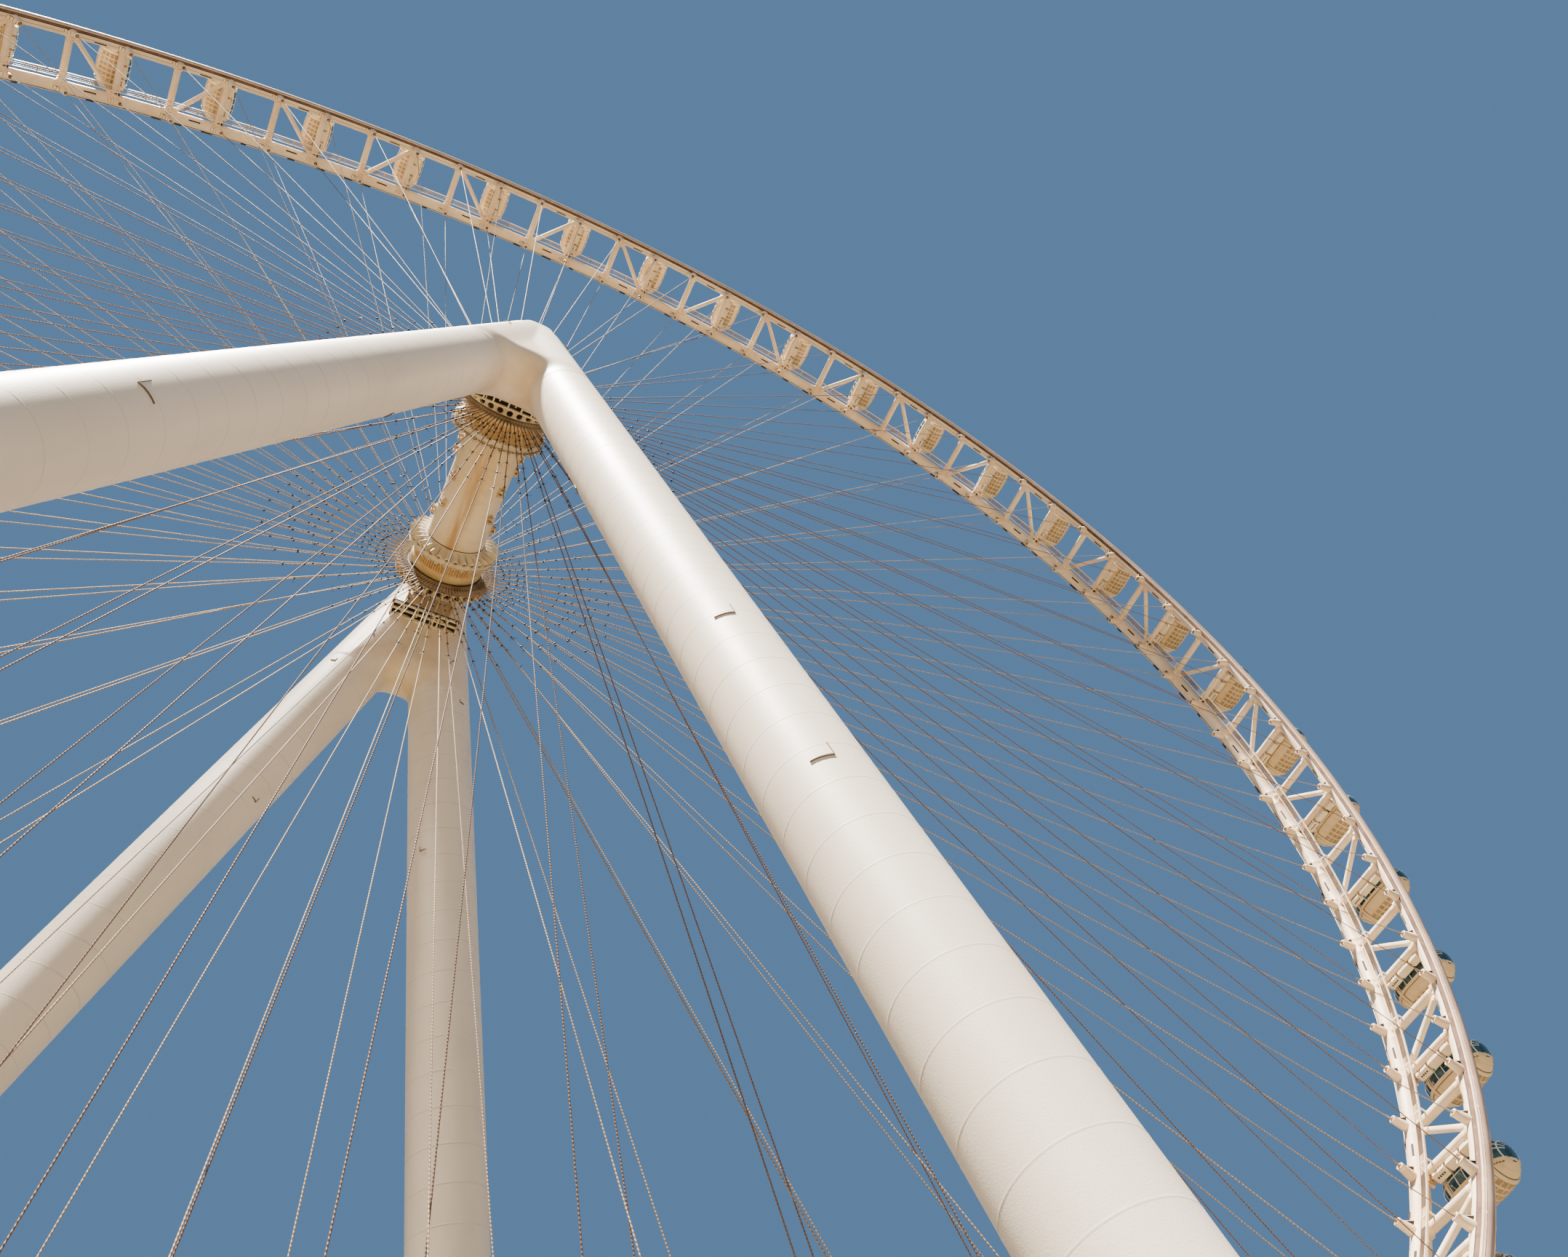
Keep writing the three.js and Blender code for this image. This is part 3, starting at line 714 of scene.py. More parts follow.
for side, end in ENDS:
    flange = Stock(side)
    y0, y1 = BAND_Y
    flange.add(pleated(SKIRT, FOLD), flange_paint)
    flange.add(about_axle([(0.36, 0.704), (BAND_R - 0.010, 0.708), (BAND_R, y0), (BAND_R, y1 - 0.018),
                           (BAND_R + 0.003, y1 - 0.016), (BAND_R + 0.003, y1 - 0.010), (BAND_R, y1 - 0.008),
                           (BAND_R - 0.008, y1), (0.36, y1)], 128), flange_paint)
    # a thin fin in each fold, and a short rib behind the band with its outer edge hollowed to an arch
    fin = upright_plate([(0.335, 0.650), (0.36, 0.652), (0.440, 0.684), (0.470, 0.700), (0.474, 0.716),
                         (0.335, 0.716)], 0.0045)
    rib = upright_plate([(0.35, y1 - 0.004), (0.464, y1 - 0.004), (0.462, y1 + 0.010), (0.436, y1 + 0.018),
                         (0.408, y1 + 0.036), (0.390, y1 + 0.060), (0.384, y1 + 0.084),
                         (0.35, y1 + 0.084)], 0.0065)
    # the front fins take the brown paint, darker as painted shade; the back ones stay cream
    flange.add(round_axle(fin, PLEATS, math.pi / PLEATS), brown_dirt_and_shade if side < 0 else flange_paint)
    flange.add(round_axle(rib, PLEATS, math.pi / PLEATS), flange_paint)
    # stops between the band and each pleat; those in the folds are brown, for dirt and painted shade
    flange.add(blocks_about(PLEATS, 0, 0.466, y1 + 0.002, (0.006, 0.020, 0.007)), flange_paint)
    flange.add(blocks_about(PLEATS, 0, 0.463, 0.712, (0.009, 0.015, 0.008)), brown_dirt_and_shade)
    # rusty cone behind the band, then the toothed collar, the plain collar and the gasket
    flange.add(about_axle([(0.35, y1 - 0.002), (0.446, y1 - 0.002), (0.440, y1 + 0.006), (0.394, y1 + 0.040),
                           (COLLAR_R, y1 + 0.062), (0.35, y1 + 0.062)], 128), pocket_rust)
    # a near-black ring under the teeth: painted shade in the gaps between them
    flange.add(about_axle(strip(0.34, COLLAR_R - 0.016, 0.836, 0.924), 96), painted_slot_shade)
    flange.add(blocks_about(TEETH, 0, COLLAR_R - 0.012, 0.880, (0.014, 0.0098, 0.045)), pocket_rust)
    flange.add(about_axle([(0.34, 0.920), (COLLAR_R - 0.004, 0.920), (COLLAR_R + 0.010, 0.932),
                           (COLLAR_R + 0.016, 0.962), (COLLAR_R + 0.014, 1.000), (COLLAR_R + 0.004, 1.018),
                           (0.34, 1.018)], 128), primer_gold)
    flange.add(about_axle(strip(0.34, COLLAR_R + 0.020, 1.016, 1.027), 128), dark_seams_and_slot_shade)
    # ring of sockets, brown for dirt and darker as painted shade: a rib and a near-black slot for each cable
    # on the inner face, two near-black slots on the rim; the slots are painted shade
    s0, s1 = SOCKET_Y
    flange.add(about_axle([(0.37, s0), (SOCKET_R - 0.004, s0), (SOCKET_R, s0 + 0.004), (SOCKET_R, s1 - 0.004),
                           (SOCKET_R - 0.004, s1), (0.37, s1 + 0.005)], 192), brown_dirt_and_shade)
    flange.add(blocks_about(NODES, PHASE + STEP / 2, 0.462, s0, (0.046, 0.0045, 0.009)), brown_dirt_and_shade)
    # a near-black block in each cable's slot: painted shade
    flange.add(blocks_about(NODES, PHASE, 0.470, s0 - 0.002, (0.011, 0.0052, 0.004)), dark_seams_and_slot_shade)
    for y in (s0 + 0.014, s0 + 0.036):
        flange.add(blocks_about(NODES, PHASE, SOCKET_R, y, (0.0018, 0.0044, 0.005)), painted_slot_shade)
    flange.piece(f"hub_flange_{end}", "wheel")


# Cables: spiral-strand steel ropes from the socket ring to the lugs on the rim, held by a steel socket
# at both ends. Near its root, each carries two groups of three black clamps with short tails.
CHORD_R, RIM_Y = 11.5, 0.415            # the chords' radius, and the half width of the rim
CABLE_R, CABLE_ROOT, CABLE_SHIFT, CABLE_Y = 0.0050, 0.485, 0.025, 1.03
LAY = 0.026                             # one turn of the rope's wires
LUG_REACH = 0.235                       # from the chord's axis to the tip of a lug
CLAMPS = (0.19, 0.30, 0.41, 0.76, 0.96, 1.18)       # distances from the root
# outlines as (distance, radius): from the root, from the lug's tip inward, and along a clamp
ROOT_SOCKET = ((0, 0.0105), (0.045, 0.0105), (0.050, 0.0085), (0.070, 0.008), (0.095, 0.0062))
RIM_SOCKET = ((0.075, 0.0060), (0.060, 0.0085), (0.022, 0.009), (0.018, 0.012), (0.002, 0.012))
CLAMP = ((0, 0.007), (0.004, 0.0104), (0.015, 0.0104), (0.019, 0.007))


def rope_finish(name, bright, dark, tint):
    """Galvanised rope: raised wires in a slanted lay, dulled and browned by dust. Its colour goes from dark
    in the grooves of the lay to bright on its crests: painted shade and painted highlight.
    """
    f = Finish(name, Metallic=0.1)
    across = f.vector("MULTIPLY", f.vector("SUBTRACT", f.place, (0, 0, HUB)), (1, 0, 1))
    from_hub = f.vector("LENGTH", across, out="Value")
    turns = (from_hub + f.along_axis(1)) * (2 * math.pi / LAY)
    lay = f.node("ShaderNodeMath", {"operation": "SINE"}, {0: turns}) * 0.5 + 0.5
    patchy = f.noise(2.3, detail=4)
    # dark in the grooves, bright on the crests: painted shade and painted highlight
    tone = f.blend(lay * 0.7 + 0.15, dark, bright)
    f.feed("Base Color", f.blend(f.fade(patchy, 0.35, 0.7) * 0.6, tone, tint))
    f.feed("Roughness", 0.5 + 0.3 * patchy)
    return f.bump(lay, 0.0018)


# front ropes painted darker as shade, back ropes paler as sunlit: lit and shaded copies of one rope
shaded_front_rope = rope_finish("front_rope_painted_shade", srgb(150, 118, 94), srgb(100, 74, 57), srgb(122, 95, 76))
lit_back_rope = rope_finish("back_rope_painted_light", srgb(200, 174, 140), srgb(132, 107, 82), srgb(160, 135, 106))
socket_steel = painted_steel("socket_steel", (178, 156, 128), (132, 110, 86), grime=0.5, rust=0.25, grain=8)
clamp_black = painted_steel("clamp_black", (30, 27, 33), (20, 18, 22), grime=0.2, rust=0.05, grain=8)


def cable_line(j, side):
    """Root in the socket ring, node on the chord, unit way inward and the clockwise direction."""
    out, clock = axle_frame(PHASE + j * STEP)
    root = out * CABLE_ROOT + clock * side * CABLE_SHIFT + (0, side * CABLE_Y, HUB)
    node = out * CHORD_R + (0, (side if j % 2 else -side) * RIM_Y, HUB)
    return root, node, unit(root - node), clock


for side, end in ENDS:
    # darker ropes in front as painted shade, paler ones behind as painted light
    rope = shaded_front_rope if side < 0 else lit_back_rope
    fan = Stock()
    for j in range(NODES):
        root, node, inward, clock = cable_line(j, side)
        length = np.linalg.norm(root - node) - LUG_REACH
        away = -inward
        fan.add(turned(root, away, [(0, CABLE_R), (length - 0.02, CABLE_R)], 8, caps=False), rope)
        fan.add(turned(root, away, ROOT_SOCKET, 8), socket_steel)
        fan.add(turned(root, away, [(length - t, r) for t, r in RIM_SOCKET], 8), socket_steel)
        for k, first in enumerate(CLAMPS):
            reach = first * (1 + 0.17 * (j % 2)) + 0.014 * ((j * 7 + k * 3) % 5 - 2)
            at = root + away * reach
            fan.add(turned(at - away * 0.0095, away, CLAMP, 6), clamp_black)
            for tail, long in ((0.0, 0.036), (2.3, 0.026)):
                spin = j * 2.4 + k + tail
                swing = unit(clock * math.cos(spin) + np.cross(away, clock) * math.sin(spin) + away * 0.4)
                outline = [(0.006, 0.0015), (long, 0.0013), (long, 0.0032), (long + 0.007, 0.0028)]
                fan.add(turned(at, swing, outline, 3), clamp_black)
    fan.piece(f"cable_fan_{end}", "wheel", [f"spokes_{end}"], crease=60)


# Chords: the two round tubes of the rim, rolled from steel plate and painted cream, with a raised
# weld seam on both sides of every node.
CHORD_TUBE, TUBE_SIDES, SEAM_BEAD = 0.088, 16, 0.002
# stations of one bay: degrees from its node, and whether a seam is raised there
BAY_STATIONS = np.array([(-0.62, 0), (-0.595, 1), (-0.57, 0), (0.57, 0), (0.595, 1), (0.62, 0), (1.25, 0),
                         (1.875, 0), (2.5, 0)])
rim_paint = painted_steel("rim_paint", (253, 228, 194), (242, 212, 174), grime=0.2, rust=0.06, grain=2.4)
circle = 2 * np.pi * np.arange(TUBE_SIDES) / TUBE_SIDES
section = np.stack([np.cos(circle), np.sin(circle)], 1)
radii = CHORD_TUBE + SEAM_BEAD * np.tile(BAY_STATIONS[:, 1], NODES)
outlines = radii[:, None, None] * section + (CHORD_R, RIM_Y)
angles = PHASE + np.add.outer(STEP * np.arange(NODES), np.radians(BAY_STATIONS[:, 0])).ravel()
for side, end in ENDS:
    chord = Stock(side)
    chord.add(hoop(outlines, angles), rim_paint)
    chord.piece(f"chord_{end}", "wheel", ["rim_right_half", "rim_left_half"] if side < 0 else (),
                crease=60)


# Running rails: rolled steel bands fixed round the chords. The front chord has cream rails, a brown
# channel darkened as painted shade, the running bar, half bright and half grey, its grey half painted
# shade, and two grey cover plates also darkened as painted shade, with near-black grooves between them
# as painted shade. The back one has a dark grooved rail with pads beside it, and a thin pipe.
# grey paint darkened as painted shade, for band faces turned from the light
rail_grey_and_shade = painted_steel("rail_grey_and_shade", (198, 162, 138), (166, 134, 112), grime=0.4, rust=0.05, grain=3)
# near-black: painted shade in grooves, slots and bores; dark paint on lug plates and pads
dark_paint_and_shade = painted_steel("dark_paint_and_shade", (58, 34, 22), (38, 24, 18), grime=0.2, grain=3, roughness=0.7)
rail_bright = painted_steel("rail_bright", (246, 222, 194), (228, 200, 170), grime=0.2, rust=0.05, grain=3)
# brown paint darkened as painted shade, for the recessed channel
channel_brown_and_shade = painted_steel("channel_brown_and_shade", (128, 92, 70), (98, 68, 52), grime=0.5, rust=0.2, grain=6,
                              roughness=0.85)
# grey paint darkened as painted shade, for the cover plates
plate_grey_and_shade = painted_steel("plate_grey_and_shade", (196, 164, 142), (164, 136, 116), grime=0.4, rust=0.05, grain=3)
BAND_FOOT = 0.084                       # every band starts just under the tube's surface
# each band's first and last degree, from the chord's inner side to its outer one, height and finish
FRONT_BANDS = (
    (-41, -15, 0.0935, rim_paint), (-15, -11, 0.0900, dark_paint_and_shade), (-11, 17, 0.0940, rim_paint),
    (17, 24, 0.0905, dark_paint_and_shade), (24, 45, 0.0925, channel_brown_and_shade), (45, 46, 0.0925, dark_paint_and_shade),
    (46, 55, 0.0960, rail_bright), (55, 66.2, 0.0945, rail_grey_and_shade), (66.2, 68, 0.0965, rim_paint),
    (68, 71.5, 0.0905, dark_paint_and_shade), (71.5, 92, 0.0950, plate_grey_and_shade), (92, 93.2, 0.0925, dark_paint_and_shade),
    (93.2, 114, 0.0950, plate_grey_and_shade))
BACK_BANDS = ((60, 100, 0.0925, dark_paint_and_shade), (88, 91, 0.0945, rail_grey_and_shade), (97, 100, 0.0945, rail_grey_and_shade),
              (75, 77, 0.0955, rim_paint))
PIPE_R, PIPE_OFF, PIPE_TURN = 0.0045, 0.0985, 1.08      # place by distance and angle from the chord's axis
even = PHASE + 2 * np.pi * np.arange(2 * NODES) / (2 * NODES)


def on_tube(start, end, high):
    """Outline of a band on the chord's tube."""
    t = np.radians(np.linspace(start, end, max(2, int((end - start) / 10) + 2)))
    return [(CHORD_R - h * math.cos(a), RIM_Y + h * math.sin(a))
            for h, turn in ((BAND_FOOT, t), (high, t[::-1])) for a in turn]


rails = Stock()
for side, bands, slot_high in ((-1, FRONT_BANDS, 0.0947), (1, BACK_BANDS, 0.0912)):
    rails.side = side
    for start, end, high, finish in bands:
        rails.add(hoop(on_tube(start, end, high), even), finish)
    # a long near-black slot under the chord in every bay with a diagonal, painted shade
    slot = hoop(on_tube(-34, -20, slot_high), np.linspace(-0.0075, 0.0075, 4), closed=False)
    rails.add(round_axle(slot, NODES // 2, PHASE + 1.5 * STEP), dark_paint_and_shade)
pipe_r, pipe_y = CHORD_R - PIPE_OFF * math.cos(PIPE_TURN), RIM_Y + PIPE_OFF * math.sin(PIPE_TURN)
circle = 2 * np.pi * np.arange(8) / 8
pipe = [(pipe_r + PIPE_R * math.cos(a), pipe_y + PIPE_R * math.sin(a)) for a in circle]
rails.add(hoop(pipe, even), rim_paint)
for j in range(NODES):                  # pads of uneven length
    out, clock = axle_frame(PHASE + (j + 0.5) * STEP)
    for n, e in enumerate((-0.24, 0.03, 0.22)):
        if (j * 5 + n * 3) % 7 < 3:
            at = out * (CHORD_R - 0.040) + clock * e + (0, RIM_Y + 0.092, HUB)
            rails.add(block(at, (out, clock, AXLE), (0.015, 0.040 + 0.015 * (j % 4), 0.009)), dark_paint_and_shade)
rails.side = -1
clip = hoop(on_tube(44, 70, 0.0975), (-0.0004, 0.0004), closed=False)
for e in (-0.30, -0.27, 0.27, 0.30):    # clips that hold the running bar
    rails.add(round_axle(clip, NODES // 2, PHASE + (1.5 + e) * STEP), rail_bright)
rails.piece("running_rails", "wheel")


# Cross tubes and diagonals: at every other node a round steel tube joins the chords, and a thinner
# one runs across the next bay. Each has a sleeve and a weld seam at both ends, painted with the rim, and
# gusset plates hold the diagonals.
TUBE_R, TUBE_SLEEVE, BRACE_R, BRACE_SLEEVE = 0.05, 0.066, 0.034, 0.045
lacing = Stock()
for j in range(1, NODES, 2):
    outline = both_ends([(0.07, TUBE_SLEEVE), (0.100, TUBE_SLEEVE), (0.104, TUBE_R), (0.160, TUBE_R),
                         (0.163, TUBE_R + SEAM_BEAD), (0.166, TUBE_R)], 2 * RIM_Y)
    lacing.add(turned(spot(PHASE + j * STEP, CHORD_R, -RIM_Y), AXLE, outline, 16, caps=False), rim_paint)
    side = -1 if j % 4 == 1 else 1
    a, b = spot(PHASE + j * STEP, CHORD_R, side * RIM_Y), spot(PHASE + (j + 1) * STEP, CHORD_R, -side * RIM_Y)
    outline = both_ends([(0.05, BRACE_SLEEVE), (0.135, BRACE_SLEEVE), (0.14, BRACE_R), (0.20, BRACE_R),
                         (0.203, BRACE_R + SEAM_BEAD), (0.206, BRACE_R)], np.linalg.norm(b - a))
    lacing.add(turned(a, b - a, outline, 12, caps=False), rim_paint)
    out, clock = axle_frame(PHASE + j * STEP)
    for landing, way in ((a, 1), (b, -1)):
        centre = landing - AXLE * side * way * 0.10 + clock * way * 0.07
        lacing.add(block(centre, (out, clock, AXLE), (0.004, 0.05, 0.05)), rim_paint)
lacing.piece("cross_tubes_and_diagonals", "wheel")


# Cable lugs: under both chords at every node, a cast steel socket tapers to a collar, hollow at its
# tip where the cable goes in. Beside it stands a dark stiffened plate with a cream edge strip.
# the socket's sections: distance from the node, and half width and half depth
LUG_SECTIONS = ((0.03, 0.072, 0.048), (0.10, 0.066, 0.046), (LUG_REACH - 0.050, 0.044, 0.042),
                (LUG_REACH - 0.023, 0.039, 0.038), (LUG_REACH - 0.019, 0.042, 0.041),
                (LUG_REACH - 0.003, 0.041, 0.040), (LUG_REACH, 0.038, 0.037), (LUG_REACH, 0.027, 0.027),
                (LUG_REACH - 0.018, 0.025, 0.025))
# the side plates' corners: distance inward from the node, and anticlockwise
PLATE_CORNERS = ((LUG_REACH - 0.055, 0.036), (0.082, 0.138), (0.060, 0.138), (0.040, 0.03),
                 (LUG_REACH - 0.055, 0.02))
rusty_steel = painted_steel("rusty_steel", (206, 160, 106), (158, 110, 66), grime=0.5, rust=0.4, grain=8)
lugs = Stock()
circle = 2 * np.pi * np.arange(14) / 14
for j in range(NODES):
    for side, _ in ENDS:
        _, node, inward, clock = cable_line(j, side)
        across = unit(np.cross(inward, clock))
        rings = []
        for reach, wide, deep in LUG_SECTIONS:
            middle = node + inward * reach + clock * 0.012 * (reach - LUG_REACH) / LUG_REACH
            round_it = wide * np.outer(np.cos(circle), clock) + deep * np.outer(np.sin(circle), across)
            rings.append(middle + round_it)
        shape, (skin_faces, foot_face, bore_face) = loft(rings)
        lugs.add((shape, [skin_faces, foot_face]), rim_paint)
        # the floor of the hollow tip is near-black, painted shade
        lugs.add((shape, [bore_face]), dark_paint_and_shade)
        plug = turned(node + inward * (LUG_REACH - 0.018), inward, [(0, 0.015), (0.020, 0.013)], 8)
        lugs.add(plug, rusty_steel)
        # two side plates, the edge strip over them, and stiffeners between
        flat = np.array([node + inward * reach - clock * aside for reach, aside in PLATE_CORNERS])
        tip, heel = flat[:2]
        for face in (-0.020, 0.020):
            lugs.add(loft([flat + across * (face - 0.0025), flat + across * (face + 0.0025)]), dark_paint_and_shade)
        slope = unit(heel - tip)
        axes = (slope, np.cross(slope, across), across)
        half = np.linalg.norm(heel - tip) / 2
        lugs.add(block((tip + heel) / 2, axes, (half + 0.004, 0.0028, 0.026)), rim_paint)
        for share in (0.3, 0.6, 0.9):
            at = tip + (heel - tip) * share + clock * 0.010
            lugs.add(block(at, axes, (0.003, 0.012, 0.0235)), dark_paint_and_shade)
lugs.piece("cable_lugs", "wheel", crease=50)


# Walkway: a narrow steel grating hung inside the back chord, with two edge plates and two wires all
# round, close cross bars over the middle of each bay, and hangers up into the tube or beam above.
WALK_R, WALK_Y, WALK_BARS = 11.385, (0.163, 0.247), np.linspace(0.24, 0.84, 27)
walk_bar = painted_steel("walk_bar", (150, 128, 108), (112, 92, 76), grime=0.5, rust=0.25, grain=6)
middle, half = sum(WALK_Y) / 2, (WALK_Y[1] - WALK_Y[0]) / 2
walk = Stock()
for y, high, wide in ((WALK_Y[0], 0.012, 0.0058), (WALK_Y[1], 0.011, 0.0058), (0.191, 0.003, 0.0008),
                      (0.219, 0.003, 0.0008)):
    walk.add(hoop(strip(WALK_R - high, WALK_R + 0.5 * high, y - wide, y + wide), even), rim_paint)
for turn in WALK_BARS:
    bars = blocks_about(NODES, PHASE + turn * STEP, WALK_R - 0.003, middle, (0.0050, 0.0016, half))
    walk.add(bars, walk_bar)
for y in WALK_Y:
    hanger = straight_block((-0.012, y, HUB + WALK_R + 0.036), (0.010, 0.0055, 0.036))
    walk.add(round_axle(hanger, NODES, PHASE), rim_paint)
walk.add(blocks_about(2 * NODES, PHASE, WALK_R + 0.006, middle, (0.005, 0.009, half)), rim_paint)
walk.piece("walkway", "wheel")


# Capsule beams: under each capsule a tube joins the chords, and a row of cream drive boxes stands
# beside it, with vents in the covers, bolted clips and rusty brackets between, and end blocks.
BEAM_R, BEAM_SLEEVE = 0.048, 0.060
# near-black: painted shade in the vents, and dark parts at the back end
vent_shade_and_dark_parts = painted_steel("vent_shade_and_dark_parts", (44, 38, 34), (30, 26, 24), grime=0.2, rust=0.1, grain=8)
box_paint = painted_steel("box_paint", (250, 232, 200), (236, 214, 178), grime=0.25, rust=0.06, grain=6)
beams = Stock()
beam_outline = both_ends([(0.06, BEAM_SLEEVE), (0.104, BEAM_SLEEVE), (0.108, BEAM_R), (0.165, BEAM_R),
                          (0.168, BEAM_R + SEAM_BEAD), (0.171, BEAM_R)], 2 * RIM_Y)
beam_tube = turned((-0.024, -RIM_Y, HUB + CHORD_R), AXLE, beam_outline, 16, caps=False)
beams.add(round_axle(beam_tube, NODES // 2, PHASE), rim_paint)


def on_beam(x, y, z, halves, finish):
    """Box at every beam, from its place across, along and above the beam."""
    beams.add(round_axle(straight_block((x, y, HUB + CHORD_R + z), halves), NODES // 2, PHASE), finish)


for y, half in ((-0.205, 0.060), (-0.030, 0.085), (0.165, 0.078)):
    on_beam(0.034, y, 0.046, (0.052, half, 0.042), box_paint)
    on_beam(0.034, y, 0.0020, (0.047, half - 0.006, 0.0030), box_paint)     # raised cover with its rim
    for e in (-1, 1):
        on_beam(0.034, y + e * (half - 0.004), 0.0005, (0.050, 0.0022, 0.0035), box_paint)
        on_beam(0.034 + e * 0.049, y, 0.0005, (0.0022, half - 0.004, 0.0035), box_paint)
        for g in (-1, 1):
            on_beam(0.034 + e * 0.042, y + g * (half - 0.012), -0.0018, (0.0028, 0.0028, 0.0018), rusty_steel)
    on_beam(0.030, y + half + 0.011, 0.030, (0.040, 0.005, 0.020), rusty_steel)     # between the boxes
    on_beam(-0.018, y - half * 0.4, 0.046, (0.010, 0.008, 0.030), rusty_steel)
for y, half in ((-0.205, 0.060), (-0.030, 0.085)):
    on_beam(0.034, y + 0.01, -0.0030, (0.026, half - 0.030, 0.0014), box_paint)
for y in (0.120, 0.147, 0.174, 0.201):      # vents in the flank and the cover of the back box, near-black sheets as painted shade
    on_beam(0.0862, y, 0.040, (0.0008, 0.0095, 0.010), vent_shade_and_dark_parts)
    on_beam(0.040, y, -0.0014, (0.010, 0.0085, 0.0006), vent_shade_and_dark_parts)
on_beam(-0.016, -0.01, 0.0, (0.0026, 0.250, 0.0030), rusty_steel)           # rusty joint along the boxes
for e in (-1, 1):
    on_beam(0.012, e * (RIM_Y - 0.084), 0.040, (0.044, 0.016, 0.050), rim_paint)
    on_beam(0.0, e * 0.235, 0.0875, (0.050, 0.016, 0.0050), rusty_steel)
    on_beam(-0.060, e * (RIM_Y - 0.115), 0.058, (0.014, 0.016, 0.026), rusty_steel)
# cables, brackets and small boxes at the back end
on_beam(-0.082, 0.262, 0.030, (0.022, 0.030, 0.026), box_paint)
on_beam(-0.060, 0.250, -0.004, (0.030, 0.005, 0.012), rusty_steel)
on_beam(0.020, 0.272, 0.004, (0.044, 0.010, 0.014), rusty_steel)
on_beam(0.068, 0.285, 0.020, (0.010, 0.012, 0.024), rusty_steel)
on_beam(-0.020, 0.292, -0.020, (0.012, 0.010, 0.022), rusty_steel)
on_beam(0.046, 0.258, 0.052, (0.030, 0.006, 0.024), rusty_steel)
on_beam(-0.022, 0.305, -0.040, (0.018, 0.012, 0.012), vent_shade_and_dark_parts)
on_beam(0.030, 0.312, -0.026, (0.010, 0.014, 0.020), vent_shade_and_dark_parts)
beams.piece("capsule_beams", "wheel")


# Capsules: long rounded pods that stay level. The lower half is a cream shell with a ribbed floor,
# the upper half dark glass between white glazing bars, and a slewing ring runs round near each end.
CAPSULE_R, CAPSULE_HALF, CAPSULE_ORBIT = 0.2275, 0.404, 11.83
FULLNESS = 3.1              # of the shell towards its noses
RING_AT = 0.235
SILL_Z = -0.070             # the glass reaches down to this level, and wraps round both noses above it
NOSE_GAP = 0.12             # from each nose to the nearest station of the shell, as an angle
BAR_HALF, END_BAR_HALF = 0.0045, 0.0038
GLASS_BARS = (-0.365, -0.300, -0.205, -0.100, 0.0, 0.100, 0.205, 0.300, 0.365)
LONG_BARS = (-1.42, -1.05, -0.52, 0.0, 0.52, 1.05, 1.42)        # angles from the top
FLOOR_STEP, PANEL_STEP = 0.29, 0.072    # angle between the floor ribs, and from panel to panel along them
glass = Finish("capsule_glass", IOR=1.5, Coat_Roughness=0.03)
inside = glass.noise(7, (1, 1.6, 1), 4)
glass.feed("Base Color", glass.blend(glass.fade(inside, 0.35, 0.7), srgb(20, 40, 44), srgb(58, 100, 104)))
glass.feed("Roughness", 0.05 + 0.05 * inside)
glass.feed("Coat Weight", 0.7 + 0.3 * inside)
shell_paint = painted_steel("capsule_shell", (242, 216, 170), (224, 196, 148), grime=0.25, grain=5)
bar_white = painted_steel("glazing_white", (236, 240, 238), (206, 214, 212), grime=0.25, grain=8)
seam_black = painted_steel("capsule_seam", (60, 50, 42), (44, 36, 30), grime=0.3, grain=8)
floor_brown = painted_steel("floor_panel", (178, 150, 112), (150, 124, 90), grime=0.4, rust=0.1, grain=8)


def girth(y):
    """Radius of the shell at y."""
    return CAPSULE_R * (1 - np.minimum(np.abs(y) / CAPSULE_HALF, 1) ** FULLNESS) ** 0.5


def level(z, ys):
    """Angle from the top where the shell crosses this height."""
    return np.arccos(np.clip(z / np.maximum(girth(ys), 1e-4), -0.9996, 0.9996))


def sheet_on_shell(angles, ys, lift, depth=0.004):
    """A plate that follows the shell between these angles from the top, one row of them or one for
    each station; ys rise from the front to the back."""
    angles, ys = np.asarray(angles, float), np.asarray(ys, float)
    m, n = len(angles), len(ys)
    a = angles if angles.ndim == 2 else np.repeat(angles[:, None], n, 1)
    y = np.repeat(ys[None], m, 0)
    grids = []
    for h in (lift, lift - depth):
        r = girth(y) + h
        grids.append(np.stack([r * np.sin(a), y, r * np.cos(a)], -1).reshape(-1, 3))
    number = np.arange(m * n).reshape(m, n)
    cells = np.stack([number[:-1, :-1], number[:-1, 1:], number[1:, 1:], number[1:, :-1]], -1).reshape(-1, 4)
    border = np.concatenate([number[0, :-1], number[:-1, -1], number[-1, :0:-1], number[:0:-1, 0]])
    after = np.roll(border, -1)
    wall = np.stack([border, after, after + m * n, border + m * n], -1)
    return np.concatenate(grids), [np.concatenate([cells, wall[:, ::-1]])]


def on_level(high, low, e, ys, lift, finish):
    """Plate on flank e between two heights."""
    pod.add(sheet_on_shell(np.sort(np.stack([e * level(high, ys), e * level(low, ys)]), 0), ys, lift), finish)


pod = Stock()
stations = -np.cos(np.linspace(NOSE_GAP, math.pi - NOSE_GAP, 21))
rings = []
for y in np.concatenate([[-1], stations, [1]]) * CAPSULE_HALF:
    r, edge = max(girth(y), 0.0008), float(level(SILL_Z, y))
    spin = np.concatenate([np.linspace(-edge, edge, 21)[:-1], np.linspace(edge, 2 * math.pi - edge, 13)[:-1]])
    rings.append(np.stack([r * np.sin(spin), np.full(len(spin), y), r * np.cos(spin)], 1))
points, (quads, *noses) = loft(rings)
glazed = points[quads].mean(1)[:, 2] > SILL_Z
pod.add((points, [quads[~glazed]]), shell_paint)
pod.add((points, [quads[glazed], *noses]), glass)
for y in GLASS_BARS:
    thick = BAR_HALF if abs(y) < 0.25 else END_BAR_HALF
    ys = np.array([y - thick, y + thick])
    pod.add(sheet_on_shell(np.linspace(-1, 1, 19)[:, None] * level(SILL_Z, ys), ys, 0.0030), bar_white)
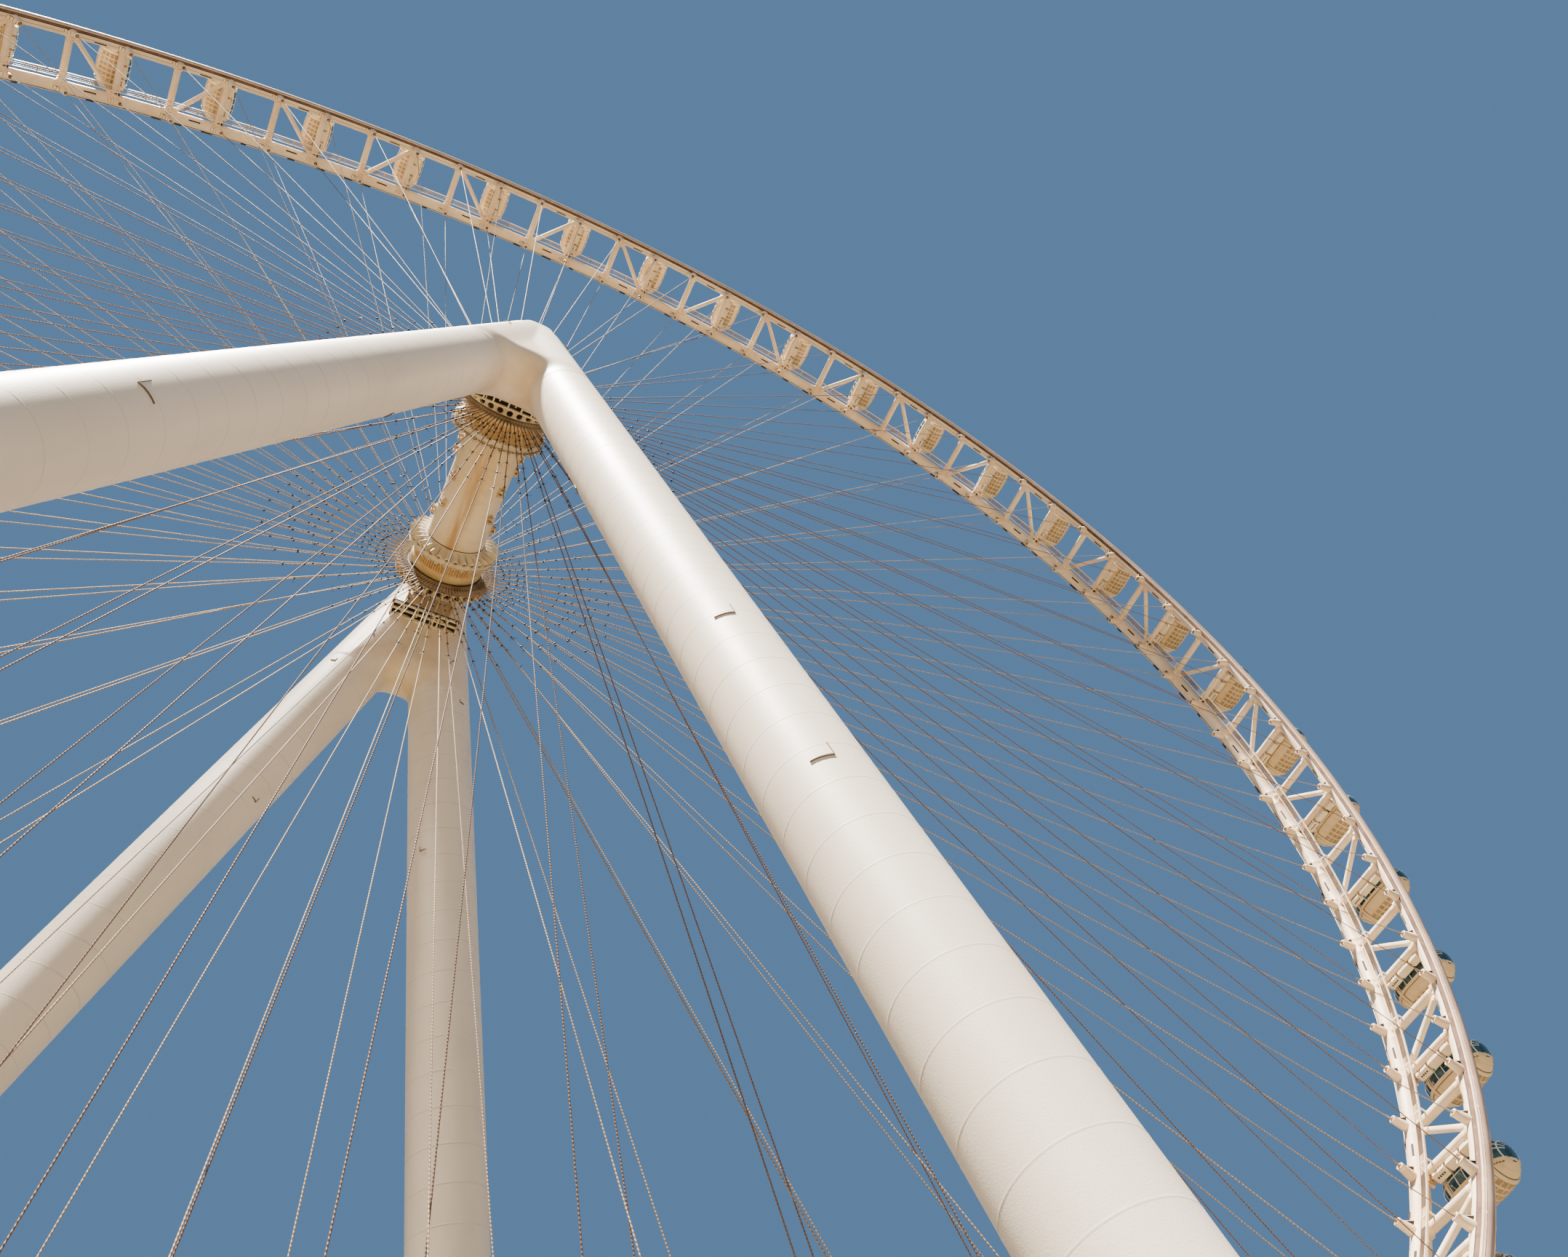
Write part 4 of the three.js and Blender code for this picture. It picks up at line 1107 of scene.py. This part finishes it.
lengthwise = np.sin(np.linspace(-1, 1, 19) * 1.37) * CAPSULE_HALF
half = np.minimum(BAR_HALF / np.maximum(girth(lengthwise), 0.03), 0.3)
for a in LONG_BARS:
    pod.add(sheet_on_shell(np.stack([a - half, a + half]), lengthwise, 0.0028), bar_white)
whole = np.linspace(0, 2 * np.pi, 33)
for e in (-1, 1):
    # sill belt with its dashed joint
    on_level(-0.064, -0.092, e, np.sin(np.linspace(-1, 1, 21) * 1.215) * CAPSULE_HALF, 0.0035, shell_paint)
    for y in np.linspace(-0.34, 0.34, 34):
        on_level(-0.0955, -0.1035, e, y + np.array([-0.0075, 0.0065]), 0.0014, seam_black)
    # slewing ring: raised band between two dark joints
    ring_y = e * RING_AT
    pod.add(sheet_on_shell(whole, (ring_y - 0.017, ring_y + 0.017), 0.0095, 0.009), shell_paint)
    for y in (ring_y - 0.023, ring_y + 0.023):
        pod.add(sheet_on_shell(whole, (y - 0.003, y + 0.003), 0.0012), seam_black)
    # end cap: a ridge across it below the belt, and a slot low in the middle
    ys = np.sort((e * 0.318, e * 0.324))
    low = level(-0.105, ys)
    under = low + np.linspace(0, 1, 13)[:, None] * (2 * math.pi - 2 * low)
    pod.add(sheet_on_shell(under, ys, 0.003), shell_paint)
    pod.add(straight_block((0.0, e * 0.372, -0.100), (0.020, 0.008, 0.0045)), seam_black)
for a in math.pi + FLOOR_STEP * (np.arange(4) - 1.5):       # floor panels, then the ribs between them
    for y in PANEL_STEP * (np.arange(6) - 2.5):
        pod.add(sheet_on_shell((a - 0.105, a, a + 0.105), (y - 0.024, y + 0.024), 0.0022), floor_brown)
for a in math.pi + FLOOR_STEP * np.arange(-2, 3):
    pod.add(sheet_on_shell((a - 0.014, a + 0.014), np.linspace(-0.212, 0.212, 7), 0.005), shell_paint)
pod_mesh = pod.mesh("capsule_pod")
for i in range(NODES // 2):
    number = f"{i + 1:02d}"
    placed(f"pod_{number}", pod_mesh, f"capsule_{number}", [f"capsule_{number}"],
           at=spot(PHASE + 2 * i * STEP, CAPSULE_ORBIT, 0))
